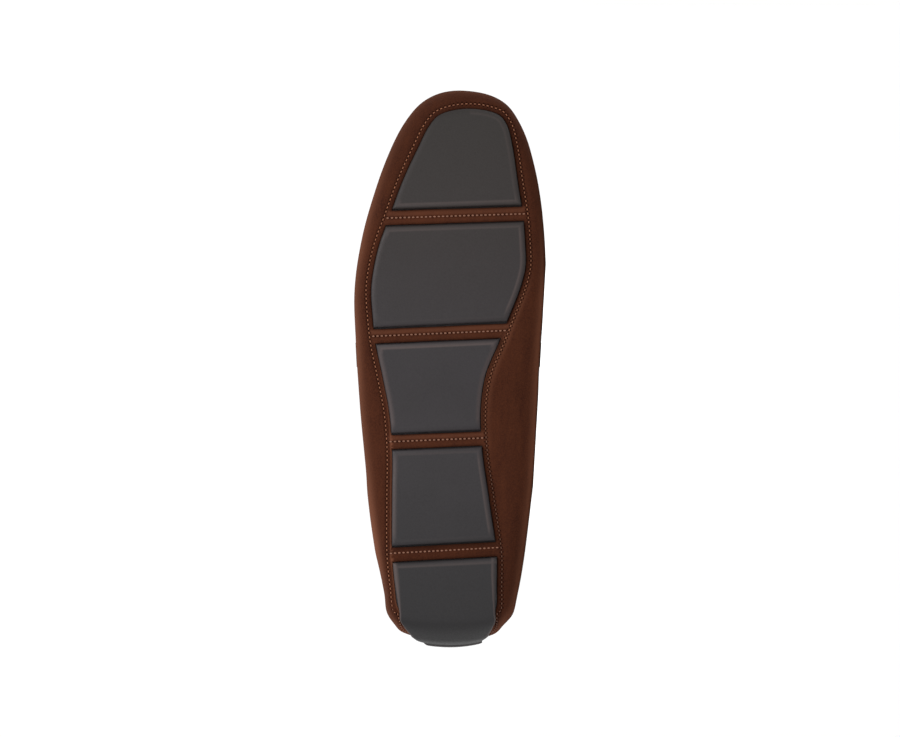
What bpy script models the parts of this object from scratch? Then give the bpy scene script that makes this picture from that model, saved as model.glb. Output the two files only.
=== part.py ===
"""A right driving loafer in brown suede on a moulded rubber sole, lying on its medial side.

The shoe is drawn standing: x runs from the heel to the toe, y towards the medial side, z up, in
millimetres. Four closed lines round the foot carry the form: the edge of the sole's windows, the feather
line where the flat bottom ends, the widest line and the rim, which is the topline behind the throat and
the apron seam in front of it. The wall is drawn through them. An empty lays the finished shoe down.
"""

import math

import bmesh
import bpy
from mathutils import Matrix, Vector

# Sizes of the shoe in millimetres
LENGTH = 282.7
BALL_WIDTH = 97.7
INSTEP_HEIGHT = 86.0
SUEDE = 2.1
GAP = 0.3
PAD_CLEAR = 0.45
PAD_PROUD = 2.8
BASE = 1.9
INSOLE = 2.5
CHAMFER = 1.1
BAR_WIDTH = 7.4
SEAM_PROUD = 1.7
STRAP = 1.7
RIB = 0.6
SETTLE = 0.2
SLOT_WIDTH, SLOT_LENGTH = 23.0, 4.6

# Height of the tread above its own plane, in millimetres
ARCH_LIFT = 1.8
ARCH_REAR, ARCH_FRONT = 62.0, 150.0
TOE_SPRING = 9.5
SPRING_START = 202.0
HEEL_ROLL = 2.5
ROLL_START = 13.0

# Shares used by the wall's section
COLLAR_CURL = math.radians(58)
TOE_CURL = math.radians(78)

# Stations in millimetres from the heel
THROAT = 134.0
TONGUE_SWEEP = 14.0
SWEEP_END = 185.0
SEAM_FADE = (158.0, 176.0)
REST_WAIST, REST_BALL = 108.0, 184.0
REST_HEIGHT = 11.5
REST_LEAN = math.radians(0.8)
SLOT_MIDDLE = 153.0

LATERAL, MEDIAL = -1, 1
SIDES = (LATERAL, MEDIAL)


def table(columns, *rows):
    """A table as lists by column name."""
    names = columns.split()
    return {name: [row[index] for row in rows] for index, name in enumerate(names)}


# Stations are percent of LENGTH, lateral and medial percent of BALL_WIDTH, heights percent of INSTEP_HEIGHT
EDGE = table(
    "station lateral medial flat",
    (3.9, 1.0, 1.0, 10),
    (4.4, -21.5, 19.4, 14),
    (6.0, -27.4, 24.0, 24),
    (10.6, -29.6, 24.6, 33),
    (16.6, -31.0, 24.4, 36),
    (26.5, -31.0, 20.3, 36),
    (34.7, -30.9, 17.0, 36),
    (41.7, -32.5, 16.1, 36),
    (48.1, -36.0, 18.6, 36),
    (54.1, -39.6, 25.6, 36),
    (59.1, -41.2, 31.3, 36),
    (63.7, -41.9, 36.6, 36),
    (67.9, -40.4, 39.7, 36),
    (72.2, -37.4, 39.5, 36),
    (76.8, -32.5, 38.5, 36),
    (83.1, -25.8, 35.7, 36),
    (89.5, -17.3, 33.0, 36),
    (93.7, -11.0, 29.8, 36),
    (95.7, -5.0, 24.6, 34),
    (96.7, 9.7, 9.7, 32),
)
WIDEST = table(
    "station lateral medial lateral_rise medial_rise",
    (0.0, 0.0, 0.0, 24.0, 24.0),
    (1.45, -24.2, 22.1, 23.0, 22.0),
    (3.1, -29.5, 27.3, 22.0, 20.5),
    (5.3, -33.4, 32.5, 21.0, 19.0),
    (8.8, -34.7, 35.5, 20.0, 17.0),
    (17.7, -39.4, 39.7, 18.0, 13.5),
    (30.8, -44.1, 44.1, 16.0, 10.5),
    (43.9, -47.8, 46.0, 15.0, 9.5),
    (54.8, -49.7, 47.6, 14.0, 9.0),
    (63.3, -50.4, 49.6, 13.0, 8.8),
    (72.2, -46.8, 49.6, 12.5, 9.2),
    (81.0, -40.1, 47.1, 13.0, 10.5),
    (89.5, -31.0, 41.8, 13.5, 12.0),
    (94.1, -24.0, 36.4, 14.0, 13.0),
    (97.6, -15.6, 29.1, 14.5, 14.0),
    (99.4, -6.1, 18.9, 15.0, 15.0),
    (100.0, 5.1, 5.1, 15.0, 15.0),
)
RIM = table(
    "station lateral medial height",
    (1.8, 0.5, 0.5, 72.1),
    (2.65, -14.3, 14.3, 71.5),
    (5.0, -22.5, 22.5, 69.8),
    (10.6, -28.1, 28.1, 64.5),
    (19.5, -31.7, 31.7, 57.5),
    (28.3, -33.3, 32.8, 56.0),
    (37.1, -32.5, 32.2, 60.5),
    (42.5, -31.0, 31.3, 67.5),
    (47.4, -29.6, 30.2, 75.0),
    (53.0, -30.0, 30.2, 72.7),
    (58.4, -31.7, 30.7, 66.0),
    (67.2, -34.3, 33.8, 54.7),
    (76.1, -31.7, 35.8, 46.5),
    (84.2, -25.1, 33.8, 41.9),
    (89.8, -15.4, 28.7, 40.1),
    (92.7, -6.1, 20.5, 40.1),
    (93.6, 7.2, 7.2, 40.1),
)
CROWN = table(
    "station height",
    (40.0, 104.0),
    (47.4, 100.0),
    (53.0, 90.5),
    (58.4, 82.5),
    (67.2, 69.2),
    (76.1, 58.9),
    (84.2, 51.4),
    (89.8, 46.4),
    (92.7, 42.3),
    (93.6, 40.1),
)
# Suede bars under the foot, from the heel to the toe: middle in millimetres, slant in degrees
BARS = table(
    "middle slant",
    (46.2, 3.1),
    (103.4, 2.3),
    (158.0, 2.5),
    (217.9, 1.8),
)
# Steps of the grid from the heel to the toe, pads and bars in turn
ROW_STEPS = (10, 2, 5, 2, 5, 2, 5, 2, 13)
# Levels of the wall: 0 window edge, 1 feather line, 2 widest line, 3 rim
WALL_LEVELS = (0, 0.5, 1, 1.12, 1.25, 1.5, 1.75, 2, 2.2, 2.4, 2.6, 2.78, 2.92, 3)
CROWN_SPOTS = (-1, -0.92, -0.7, -0.45, -0.22, 0, 0.22, 0.45, 0.7, 0.92, 1)
# Saddle strap on one side: level (3 rim, 4 middle of the crown), rear and front edge in millimetres
STRAP_EDGES = table(
    "level rear front",
    (2.42, 141.5, 152.5),
    (2.6, 140.6, 155.0),
    (2.8, 139.8, 158.5),
    (3.0, 139.3, 161.5),
    (3.25, 139.0, 163.8),
    (3.5, 139.0, 165.2),
    (3.75, 139.0, 166.0),
    (4.0, 139.0, 166.3),
)
# Rolled ends of the strap: levels, stations in millimetres, and how far each stands out
ROLL_LEVELS = (2.2, 2.24, 2.3, 2.36, 2.4)
ROLL_REAR, ROLL_FRONT = 140.8, 153.2
ROLL_PROUD = {LATERAL: 1.3, MEDIAL: 2.5}
# Heel sheet where it rolls up the back: level, reach to each side in percent turn, rib height share
HEEL_WRAP = table(
    "level lateral medial rib",
    (0.0, 8.1, 9.4, 0),
    (0.5, 7.9, 9.0, 0),
    (1.0, 7.7, 8.6, 0),
    (1.12, 7.2, 7.9, 0),
    (1.25, 6.9, 7.6, 0),
    (1.37, 6.7, 7.5, 0),
    (1.5, 6.3, 7.1, 0),
    (1.58, 5.7, 6.6, 0),
    (1.66, 5.0, 6.1, 0),
    (1.75, 4.5, 5.8, 0),
    (1.78, 4.4, 5.7, 1),
    (1.87, 4.4, 5.7, 1),
    (1.9, 4.4, 5.7, 0),
    (1.98, 4.4, 5.7, 0),
    (2.0, 4.4, 5.7, 1),
    (2.07, 4.4, 5.7, 1),
    (2.09, 4.4, 5.7, 0),
    (2.14, 4.4, 5.7, 0),
    (2.16, 4.4, 5.7, 1),
    (2.22, 4.3, 5.6, 1),
    (2.24, 4.2, 5.5, 0),
    (2.3, 3.7, 5.0, 0),
    (2.34, 2.6, 3.9, 0),
)
HEEL_SPOTS = (0, 0.03, 0.12, 0.26, 0.42, 0.58, 0.74, 0.88, 0.97, 1)


def spline(knots, values, at):
    """Smooth curve through a table: cubic pieces, each knot's slope taken from its neighbours."""
    last = len(knots) - 1
    at = min(max(at, knots[0]), knots[last])
    piece = 0
    while piece < last - 1 and at > knots[piece + 1]:
        piece += 1

    def slope(knot):
        before, after = max(knot - 1, 0), min(knot + 1, last)
        return (values[after] - values[before]) / (knots[after] - knots[before])

    span = knots[piece + 1] - knots[piece]
    s = (at - knots[piece]) / span
    return (
        values[piece] * (1 + 2 * s) * (1 - s) ** 2
        + slope(piece) * span * s * (1 - s) ** 2
        + values[piece + 1] * s * s * (3 - 2 * s)
        + slope(piece + 1) * span * s * s * (s - 1)
    )


def ramp(value, start, end):
    """0 before start, 1 after end, smooth between."""
    s = min(max((value - start) / (end - start), 0.0), 1.0)
    return s * s * (3 - 2 * s)


def turn_of(line, x):
    """How far round a line station x lies: 0 at the heel, 1 at the toe, close-set at both ends."""
    rear, front = line["station"][0], line["station"][-1]
    share = min(max((100 * x / LENGTH - rear) / (front - rear), 0.0), 1.0)
    return math.acos(1 - 2 * share) / math.pi


def column(line, name, turn):
    if "turns" not in line:
        line["turns"] = [turn_of(line, station * LENGTH / 100) for station in line["station"]]
    return spline(line["turns"], line[name], turn)


def plan(line, side, turn):
    """Point of a line seen from above."""
    rear, front = line["station"][0], line["station"][-1]
    x = LENGTH / 100 * (rear + (front - rear) * (1 - math.cos(math.pi * turn)) / 2)
    y = BALL_WIDTH / 100 * column(line, "medial" if side == MEDIAL else "lateral", turn)
    return Vector((x, y))


def tread(x):
    """Height of the pads' faces: flat at heel and ball, with arch, toe spring and rolled heel."""
    arch = min(max((x - ARCH_REAR) / (ARCH_FRONT - ARCH_REAR), 0.0), 1.0)
    spring = max((x - SPRING_START) / (LENGTH - SPRING_START), 0.0)
    roll = max((ROLL_START - x) / ROLL_START, 0.0)
    return ARCH_LIFT * math.sin(math.pi * arch) ** 2 + TOE_SPRING * spring**1.7 + HEEL_ROLL * roll**2


def bottom(x):
    return tread(x) + PAD_PROUD


def rest_line():
    """Floor seen from above: level at REST_WAIST and slope along the medial side."""
    waist = plan(WIDEST, MEDIAL, turn_of(WIDEST, REST_WAIST))
    ball = plan(WIDEST, MEDIAL, turn_of(WIDEST, REST_BALL))
    slope = (ball.y - waist.y) / (ball.x - waist.x)
    return waist, slope


REST_POINT, REST_SLOPE = rest_line()


def pressed(point):
    """Suede flattened where it lies on the floor."""
    floor = REST_POINT.y + REST_SLOPE * (point.x - REST_POINT.x) - SETTLE
    floor += math.tan(REST_LEAN) * (point.z - REST_HEIGHT)
    return Vector((point.x, min(point.y, floor), point.z))


def rim_point(side, turn):
    flat = plan(RIM, side, turn)
    raised = SEAM_PROUD * ramp(flat.x, *SEAM_FADE)
    height = INSTEP_HEIGHT / 100 * column(RIM, "height", turn)
    return Vector((flat.x, flat.y + 0.35 * side * raised, height + raised))


def wall_point(side, turn, level):
    """Outside of the upper from the window's edge (0) to the rim (3)."""
    edge, widest = plan(EDGE, side, turn), plan(WIDEST, side, turn)
    feather = edge.lerp(widest, column(EDGE, "flat", turn) / 100)
    if level <= 1:
        flat = edge.lerp(feather, level)
        return pressed(Vector((flat.x, flat.y, bottom(flat.x))))
    rise = column(WIDEST, "medial_rise" if side == MEDIAL else "lateral_rise", turn)
    widest_height = bottom(widest.x) + INSTEP_HEIGHT / 100 * rise
    if level <= 2:
        angle = (level - 1) * math.pi / 2
        flat = feather.lerp(widest, math.sin(angle))
        low = bottom(flat.x)
        return pressed(Vector((flat.x, flat.y, low + (widest_height - low) * (1 - math.cos(angle)))))
    if level >= 3:
        return rim_point(side, turn)
    rim = plan(RIM, side, turn)
    rim_height = INSTEP_HEIGHT / 100 * column(RIM, "height", turn)
    curl = COLLAR_CURL + (TOE_CURL - COLLAR_CURL) * ramp(rim.x, THROAT, 250)
    angle = (level - 2) * curl
    flat = widest.lerp(rim, (1 - math.cos(angle)) / (1 - math.cos(curl)))
    height = widest_height + (rim_height - widest_height) * math.sin(angle) / math.sin(curl)
    return pressed(Vector((flat.x, flat.y, height)))


def crown_point(row, spot):
    """Apron and tongue across one row: spot -1 lateral rim, 0 middle, 1 medial rim."""
    lateral, medial = (rim_point(side, row[side]) for side in SIDES)
    point = lateral.lerp(medial, (spot + 1) / 2)
    if abs(spot) == 1:
        return point
    raised = SEAM_PROUD * ramp(point.x, *SEAM_FADE)
    dome = 1 - abs(spot) ** 2.1
    crown = INSTEP_HEIGHT / 100 * spline(CROWN["station"], CROWN["height"], 100 * point.x / LENGTH)
    point.z += (crown - point.z + raised) * dome - raised
    point.x -= TONGUE_SWEEP * (1 - ramp(point.x, THROAT, SWEEP_END)) * dome
    return point


def bar_edge_turn(side, x, slant):
    """Turn at which a slanted bar's edge meets the window line."""
    turn = turn_of(EDGE, x)
    for _ in range(5):
        turn = turn_of(EDGE, x + math.tan(math.radians(slant)) * plan(EDGE, side, turn).y)
    return turn


def row_keys(clear):
    """Rows at the heel, at both edges of each bar widened by clear, and at the toe."""
    keys = [{LATERAL: 0.0, MEDIAL: 0.0}]
    for middle, slant in zip(BARS["middle"], BARS["slant"]):
        for edge in (-1, 1):
            x = middle + edge * (BAR_WIDTH / 2 + clear)
            keys.append({side: bar_edge_turn(side, x, slant) for side in SIDES})
    return keys + [{LATERAL: 1.0, MEDIAL: 1.0}]


KEYS = row_keys(0)


def rows_of(keys, first, last):
    """Rows from one key to another, with ROW_STEPS between neighbours."""
    rows = []
    for index in range(first, last):
        for step in range(ROW_STEPS[index]):
            share = step / ROW_STEPS[index]
            rows.append({s: keys[index][s] + share * (keys[index + 1][s] - keys[index][s]) for s in SIDES})
    return rows + [keys[last]]


def row_at(share):
    """Row at a share of the whole way from heel to toe."""
    for before, after in zip(KEYS, KEYS[1:]):
        start, end = sum(before.values()) / 2, sum(after.values()) / 2
        if share <= end:
            s = (share - start) / (end - start)
            return {side: before[side] + s * (after[side] - before[side]) for side in SIDES}
    return KEYS[-1]


def surface_point(side, share, level):
    """Outside of the upper, with levels 3 to 4 from the rim to the middle of the crown."""
    row = row_at(share)
    if level <= 3:
        return wall_point(side, row[side], level)
    return crown_point(row, side * (4 - level))


def share_at(side, level, x):
    """Share at which the surface reaches station x at this level."""
    low, high = 0.02, 0.98
    for _ in range(32):
        middle = (low + high) / 2
        if surface_point(side, middle, level).x < x:
            low = middle
        else:
            high = middle
    return (low + high) / 2


def grid_normals(points):
    """Unit normals of a grid of points, pointing along rows crossed with columns."""
    normals = []
    for r, row in enumerate(points):
        up, down = points[min(r + 1, len(points) - 1)], points[max(r - 1, 0)]
        line = []
        for c in range(len(row)):
            after, before = row[min(c + 1, len(row) - 1)], row[max(c - 1, 0)]
            line.append((up[c] - down[c]).cross(after - before).normalized())
        normals.append(line)
    return normals


def add_grid(bm, points, flip=False):
    """Quads over a grid of points."""
    verts = [[bm.verts.new(point) for point in row] for row in points]
    for below, above in zip(verts, verts[1:]):
        for c in range(len(below) - 1):
            loop = [below[c], below[c + 1], above[c + 1], above[c]]
            bm.faces.new(reversed(loop) if flip else loop)
    return verts


def close_up(bm):
    """Welds the grids of one shape and turns its faces outwards."""
    bmesh.ops.remove_doubles(bm, verts=bm.verts[:], dist=0.004)
    bmesh.ops.dissolve_degenerate(bm, dist=0.002, edges=bm.edges[:])
    bmesh.ops.recalc_face_normals(bm, faces=bm.faces[:])


def plate(inner, outer):
    """Closed piece between two grids of the same size."""
    bm = bmesh.new()
    add_grid(bm, inner, flip=True)
    add_grid(bm, outer)
    for index in (0, -1):
        add_grid(bm, [inner[index], outer[index]])
        add_grid(bm, [[row[index] for row in inner], [row[index] for row in outer]])
    close_up(bm)
    return bm


def on_surface(points, normals, lift):
    """Grid moved off its surface by a length, or by a length for each point."""
    if isinstance(lift, (int, float)):
        lift = [[lift] * len(row) for row in points]
    return [
        [point + normal * rise for point, normal, rise in zip(*rows)]
        for rows in zip(points, normals, lift)
    ]


def ladder(layers):
    """Closed piece from outlines above each other, each a lateral and a medial list of points."""
    bm = bmesh.new()
    for low, high in zip(layers, layers[1:]):
        for lower, upper in zip(low, high):
            add_grid(bm, [lower, upper])
        add_grid(bm, [[low[0][0], low[1][0]], [high[0][0], high[1][0]]])
        add_grid(bm, [[low[0][-1], low[1][-1]], [high[0][-1], high[1][-1]]])
    for lateral, medial in (layers[0], layers[-1]):
        add_grid(bm, [list(pair) for pair in zip(lateral, medial)])
    close_up(bm)
    return bm


def inset_line(point_at, rows, clear):
    """Lateral and medial points of a line round the foot, moved inwards by clear."""
    lines = []
    for side in SIDES:
        line = []
        for row in rows:
            turn = row[side]
            here = point_at(side, turn)
            ahead, behind = point_at(side, min(turn + 0.004, 1)), point_at(side, max(turn - 0.004, 0))
            along = (ahead - behind).normalized()
            if turn in (0, 1):
                along = Vector((0, side if turn == 0 else -side))
            line.append(here + clear * side * Vector((along.y, -along.x)))
        lines.append(line)
    return lines


def raised_outline(outline, height):
    """Outline seen from above set at height(x)."""
    return [[Vector((p.x, p.y, height(p.x))) for p in line] for line in outline]


def upper_mesh():
    """Outside of the upper as one open sheet: walls, bars under the foot, apron with tongue."""
    rows = rows_of(KEYS, 0, len(KEYS) - 1)
    bm = bmesh.new()
    for side in SIDES:
        add_grid(bm, [[wall_point(side, row[side], level) for level in WALL_LEVELS] for row in rows])
    for bar in range(len(BARS["middle"])):
        strip = rows_of(KEYS, 2 * bar + 1, 2 * bar + 2)
        grid = []
        for row in strip:
            ends = [wall_point(side, row[side], 0) for side in SIDES]
            line = [ends[0].lerp(ends[1], step / 8) for step in range(9)]
            grid.append([Vector((p.x, p.y, bottom(p.x))) for p in line])
        add_grid(bm, grid)
    vamp = [row for row in rows if plan(RIM, MEDIAL, row[MEDIAL]).x > THROAT]
    add_grid(bm, [[crown_point(row, spot) for spot in CROWN_SPOTS] for row in vamp])
    close_up(bm)
    toe = max(bm.faces, key=lambda face: face.calc_center_median().x)
    if toe.normal.x < 0:
        bmesh.ops.reverse_faces(bm, faces=bm.faces[:])
    return bm


def base_mesh():
    """Thin rubber base inside the suede, under the whole sole."""
    rows = rows_of(KEYS, 0, len(KEYS) - 1)
    outline = inset_line(lambda side, turn: wall_point(side, turn, 1).xy, rows, 1.2)
    low = SUEDE + GAP
    return ladder(
        [raised_outline(outline, lambda x, lift=lift: bottom(x) + lift) for lift in (low, low + BASE)]
    )


def pad_mesh(pad):
    """One pad from inside the base to the tread, with a chamfered edge."""
    layers = []
    steps = ((0, SUEDE + GAP + BASE / 2), (0, CHAMFER - PAD_PROUD), (CHAMFER, -PAD_PROUD))
    for inset, height in steps:
        inset += PAD_CLEAR
        rows = rows_of(row_keys(inset), 2 * pad, 2 * pad + 1)
        outline = inset_line(lambda side, turn: plan(EDGE, side, turn), rows, inset)
        if pad == 0 and height < 0:
            height = -PAD_PROUD / 2
        layers.append(raised_outline(outline, lambda x, lift=height: bottom(x) + lift))
    if pad == 0:
        layers.pop()
    return ladder(layers)


def heel_sheet_mesh():
    """Outer skin of the heel pad, which rolls up the back of the suede as a ribbed tab."""
    front = row_keys(PAD_CLEAR)[1]
    corner = {side: plan(EDGE, side, front[side]) for side in SIDES}
    points, ribs = [], []
    for step in (0, 0.05, 0.35, 0.7, 1):
        ends = []
        for side in SIDES:
            x = corner[side].x + step * (19.0 - corner[side].x)
            y = plan(EDGE, side, turn_of(EDGE, x)).y - side * PAD_CLEAR
            ends.append(Vector((x, y, bottom(x))))
        points.append([ends[0].lerp(ends[1], spot) for spot in HEEL_SPOTS])
        ribs.append(0)
    for level, lateral, medial, rib in zip(*HEEL_WRAP.values()):
        turns = (-lateral / 100, medial / 100)
        line = []
        for spot in HEEL_SPOTS:
            turn = turns[0] + spot * (turns[1] - turns[0])
            line.append(wall_point(MEDIAL if turn > 0 else LATERAL, abs(turn), level))
        points.append(line)
        ribs.append(rib)
    normals = grid_normals(points)
    lifts = []
    for r, rib in enumerate(ribs):
        line = [PAD_PROUD + RIB * rib] * len(HEEL_SPOTS)
        if r in (0, len(ribs) - 1):
            line = [PAD_PROUD - CHAMFER] * len(HEEL_SPOTS)
        line[0] = line[-1] = PAD_PROUD - CHAMFER
        lifts.append(line)
    if normals[0][4].z > 0:
        normals = [[-normal for normal in line] for line in normals]
    return plate(on_surface(points, normals, GAP), on_surface(points, normals, lifts))


def insole_mesh():
    """Footbed over the rubber base, with a softened top edge."""
    rows = rows_of(KEYS, 0, len(KEYS) - 1)
    low = SUEDE + BASE + 2 * GAP
    layers = []
    for inset, lift in ((3.7, low), (3.7, low + INSOLE - 0.6), (4.4, low + INSOLE)):
        outline = inset_line(lambda side, turn: wall_point(side, turn, 1.42).xy, rows, inset)
        layers.append(raised_outline(outline, lambda x, lift=lift: bottom(x) + lift))
    return ladder(layers)


def strap_mesh():
    """Saddle strap over the vamp from one side to the other."""
    levels = [(LATERAL, k) for k in range(len(STRAP_EDGES["level"]))]
    levels += [(MEDIAL, k) for k in reversed(range(len(STRAP_EDGES["level"]) - 1))]
    points = []
    for side, k in levels:
        level = STRAP_EDGES["level"][k]
        rear, front = (share_at(side, level, STRAP_EDGES[name][k]) for name in ("rear", "front"))
        shares = [rear + s * (front - rear) for s in (0, 0.2, 0.4, 0.6, 0.8, 1)]
        points.append([surface_point(side, share, level) for share in shares])
    normals = grid_normals(points)
    if normals[len(normals) // 2][2].z < 0:
        normals = [[-normal for normal in line] for line in normals]
    return plate(on_surface(points, normals, 0.5), on_surface(points, normals, 0.5 + STRAP))


def slot_mesh():
    """Cutter for the strap's slot, an upright oval."""
    bm = bmesh.new()
    bmesh.ops.create_cone(bm, cap_ends=True, segments=28, radius1=0.5, radius2=0.5, depth=60)
    bmesh.ops.scale(bm, vec=(SLOT_LENGTH, SLOT_WIDTH, 1), verts=bm.verts[:])
    bmesh.ops.translate(bm, vec=(SLOT_MIDDLE, 0.3, INSTEP_HEIGHT), verts=bm.verts[:])
    return bm


def roll_mesh(side):
    """Rolled end of the strap at one side, a low rounded pad."""
    points, lifts = [], []
    for level in ROLL_LEVELS:
        rear, front = (share_at(side, level, x) for x in (ROLL_REAR, ROLL_FRONT))
        shares = [rear + s * (front - rear) for s in (0, 0.12, 0.35, 0.65, 0.88, 1)]
        points.append([surface_point(side, share, level) for share in shares])
        middle = (ROLL_LEVELS[0] + ROLL_LEVELS[-1]) / 2
        across = 1 - ((level - middle) / (ROLL_LEVELS[-1] - middle)) ** 2
        along = (0.45, 0.8, 1, 1, 0.8, 0.45)
        swell = (ROLL_PROUD[side] - 0.7) * math.sqrt(max(across, 0))
        lifts.append([GAP + 0.7 + swell * a for a in along])
    normals = grid_normals(points)
    if normals[2][2].y * side < 0:
        normals = [[-normal for normal in line] for line in normals]
    outer = on_surface(points, normals, lifts)
    outer = [[pressed(point) for point in line] for line in outer]
    return plate(on_surface(points, normals, GAP), outer)


def linear(code):
    """Linear colour from an sRGB hex code."""
    parts = [int(code[i : i + 2], 16) / 255 for i in (1, 3, 5)]
    return [c / 12.92 if c <= 0.04045 else ((c + 0.055) / 1.055) ** 2.4 for c in parts] + [1.0]


def material(name, code, roughness):
    made = bpy.data.materials.new(name)
    made.use_nodes = True
    shader = made.node_tree.nodes["Principled BSDF"]
    shader.inputs["Base Color"].default_value = linear(code)
    shader.inputs["Roughness"].default_value = roughness
    shader.inputs["Metallic"].default_value = 0.0
    return made


def place(name, bm, collection, pose, look):
    """Object from a mesh in millimetres, laid down with the shoe."""
    bmesh.ops.scale(bm, vec=(0.001, 0.001, 0.001), verts=bm.verts[:])
    mesh = bpy.data.meshes.new(name)
    bm.to_mesh(mesh)
    bm.free()
    thing = bpy.data.objects.new(name, mesh)
    thing.parent = pose
    if look:
        mesh.materials.append(look)
    collection.objects.link(thing)
    return thing


def lay_down(pose, things):
    """Turns the empty so that the medial side lies on the floor, under the middle of the shoe's box."""
    forward = Vector((1, REST_SLOPE, 0)).normalized()
    upward = Vector((REST_SLOPE, -1, math.tan(REST_LEAN))).normalized()
    turn = Matrix((forward, upward.cross(forward), upward))
    pose.rotation_euler = turn.to_euler()
    bpy.context.view_layer.update()
    graph = bpy.context.evaluated_depsgraph_get()
    corners = []
    for thing in things:
        seen = thing.evaluated_get(graph)
        mesh = seen.to_mesh()
        corners += [seen.matrix_world @ vertex.co for vertex in mesh.vertices]
        seen.to_mesh_clear()
    low = Vector([min(corner[axis] for corner in corners) for axis in range(3)])
    high = Vector([max(corner[axis] for corner in corners) for axis in range(3)])
    pose.location = Vector((-(low.x + high.x) / 2, -(low.y + high.y) / 2, -low.z))


def main():
    for thing in list(bpy.data.objects):
        bpy.data.objects.remove(thing, do_unlink=True)
    shoe = bpy.data.collections.new("driving_loafer")
    helpers = bpy.data.collections.new("helpers")
    helpers.hide_render = True
    for collection in (shoe, helpers):
        bpy.context.scene.collection.children.link(collection)
    pose = bpy.data.objects.new("shoe_pose", None)
    shoe.objects.link(pose)

    suede = material("suede", "#51301f", 0.95)
    rubber = material("rubber", "#413d3c", 0.6)
    leather = material("lining_leather", "#9a7350", 0.7)

    upper = place("upper", upper_mesh(), shoe, pose, suede)
    wall = upper.modifiers.new("wall", "SOLIDIFY")
    wall.thickness = SUEDE / 1000
    wall.offset = -1.0
    wall.use_even_offset = True

    sole = place("rubber_sole", base_mesh(), shoe, pose, rubber)
    added = [place(f"pad_{pad}", pad_mesh(pad), helpers, pose, None) for pad in range(5)]
    added.append(place("heel_sheet", heel_sheet_mesh(), helpers, pose, None))
    for thing in added:
        thing.hide_render = True
        thing.display_type = "WIRE"
        join = sole.modifiers.new(thing.name, "BOOLEAN")
        join.operation = "UNION"
        join.solver = "EXACT"
        join.object = thing

    strap = place("saddle_strap", strap_mesh(), shoe, pose, suede)
    slot = place("strap_slot", slot_mesh(), helpers, pose, None)
    slot.hide_render = True
    slot.display_type = "WIRE"
    cut = strap.modifiers.new("slot", "BOOLEAN")
    cut.operation = "DIFFERENCE"
    cut.solver = "EXACT"
    cut.object = slot

    things = [
        upper,
        sole,
        strap,
        place("insole", insole_mesh(), shoe, pose, leather),
        place("side_roll_lateral", roll_mesh(LATERAL), shoe, pose, suede),
        place("side_roll_medial", roll_mesh(MEDIAL), shoe, pose, suede),
    ]
    lay_down(pose, things)


main()
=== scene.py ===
# %% [markdown]
# # A driving loafer in brown suede
# The shoe lies on its medial side and the camera looks square onto its sole, toe up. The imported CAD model
# is the fixed frame. Each cell dresses one piece of it: suede, lining, rubber, thread, footbed and strap.
# The shoe is drawn standing, in millimetres, and one matrix lays every piece down where the CAD model
# lies.

# %% Load the CAD model
import math

import bmesh
import bpy
from mathutils import Matrix, Vector, noise


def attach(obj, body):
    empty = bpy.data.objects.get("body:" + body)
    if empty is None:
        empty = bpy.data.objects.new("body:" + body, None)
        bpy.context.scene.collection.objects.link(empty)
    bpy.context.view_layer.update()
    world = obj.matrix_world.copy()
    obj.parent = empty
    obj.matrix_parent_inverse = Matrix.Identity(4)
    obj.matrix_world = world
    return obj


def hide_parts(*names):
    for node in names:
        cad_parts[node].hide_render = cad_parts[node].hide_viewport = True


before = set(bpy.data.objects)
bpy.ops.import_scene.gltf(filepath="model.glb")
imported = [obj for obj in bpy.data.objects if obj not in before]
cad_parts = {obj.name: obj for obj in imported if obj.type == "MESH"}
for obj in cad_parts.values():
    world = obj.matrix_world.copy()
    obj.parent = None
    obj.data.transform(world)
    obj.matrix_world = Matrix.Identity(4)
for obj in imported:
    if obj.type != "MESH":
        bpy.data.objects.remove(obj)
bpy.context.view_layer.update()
print("CAD nodes:", ", ".join(sorted(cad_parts)))

# %% [markdown]
# ## The last, as four lines
# A shoemaker's last is known by a few lines: the edge of the sole's windows, the feather line where the
# flat bottom ends, the widest line, and the rim, which is the topline behind the throat and the apron
# seam in front of it. They could be drawn as curves by hand, but tables keep them equal to the CAD
# model's own, row by row. Stations are percent of the length, sideways places percent of the ball width,
# heights percent of the instep.

# %% Sizes and tables of the last
LENGTH, BALL_WIDTH, INSTEP_HEIGHT = 282.7, 97.7, 86.0
SUEDE, GAP, PAD_CLEAR, PAD_PROUD, BASE, INSOLE = 2.1, 0.3, 0.45, 2.8, 1.9, 2.5
BAR_WIDTH, SEAM_PROUD, STRAP, RIB, SETTLE = 7.4, 1.7, 1.7, 0.6, 0.2
SLOT_WIDTH, SLOT_LENGTH, SLOT_MIDDLE, SLOT_ASIDE = 23.0, 4.6, 153.0, 0.3
ARCH_LIFT, ARCH_REAR, ARCH_FRONT = 1.8, 62.0, 150.0
TOE_SPRING, SPRING_START, SPRING_BEND, HEEL_ROLL, ROLL_START = 9.5, 202.0, 1.7, 2.5, 13.0
COLLAR_CURL, TOE_CURL, CURL_END = math.radians(58), math.radians(78), 250.0
SEAM_LEAN, DOME_BEND = 0.35, 2.1
THROAT, TONGUE_SWEEP, SWEEP_END, SEAM_FADE = 134.0, 14.0, 185.0, (158.0, 176.0)
REST_WAIST, REST_BALL, REST_HEIGHT, REST_LEAN = 108.0, 184.0, 11.5, math.radians(0.8)
LATERAL, MEDIAL = -1, 1
SIDES = (LATERAL, MEDIAL)
SIDE_NAMES = {LATERAL: "lateral", MEDIAL: "medial"}


def table(columns, *rows):
    """A table as lists by column name."""
    names = columns.split()
    return {name: [row[index] for row in rows] for index, name in enumerate(names)}


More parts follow.
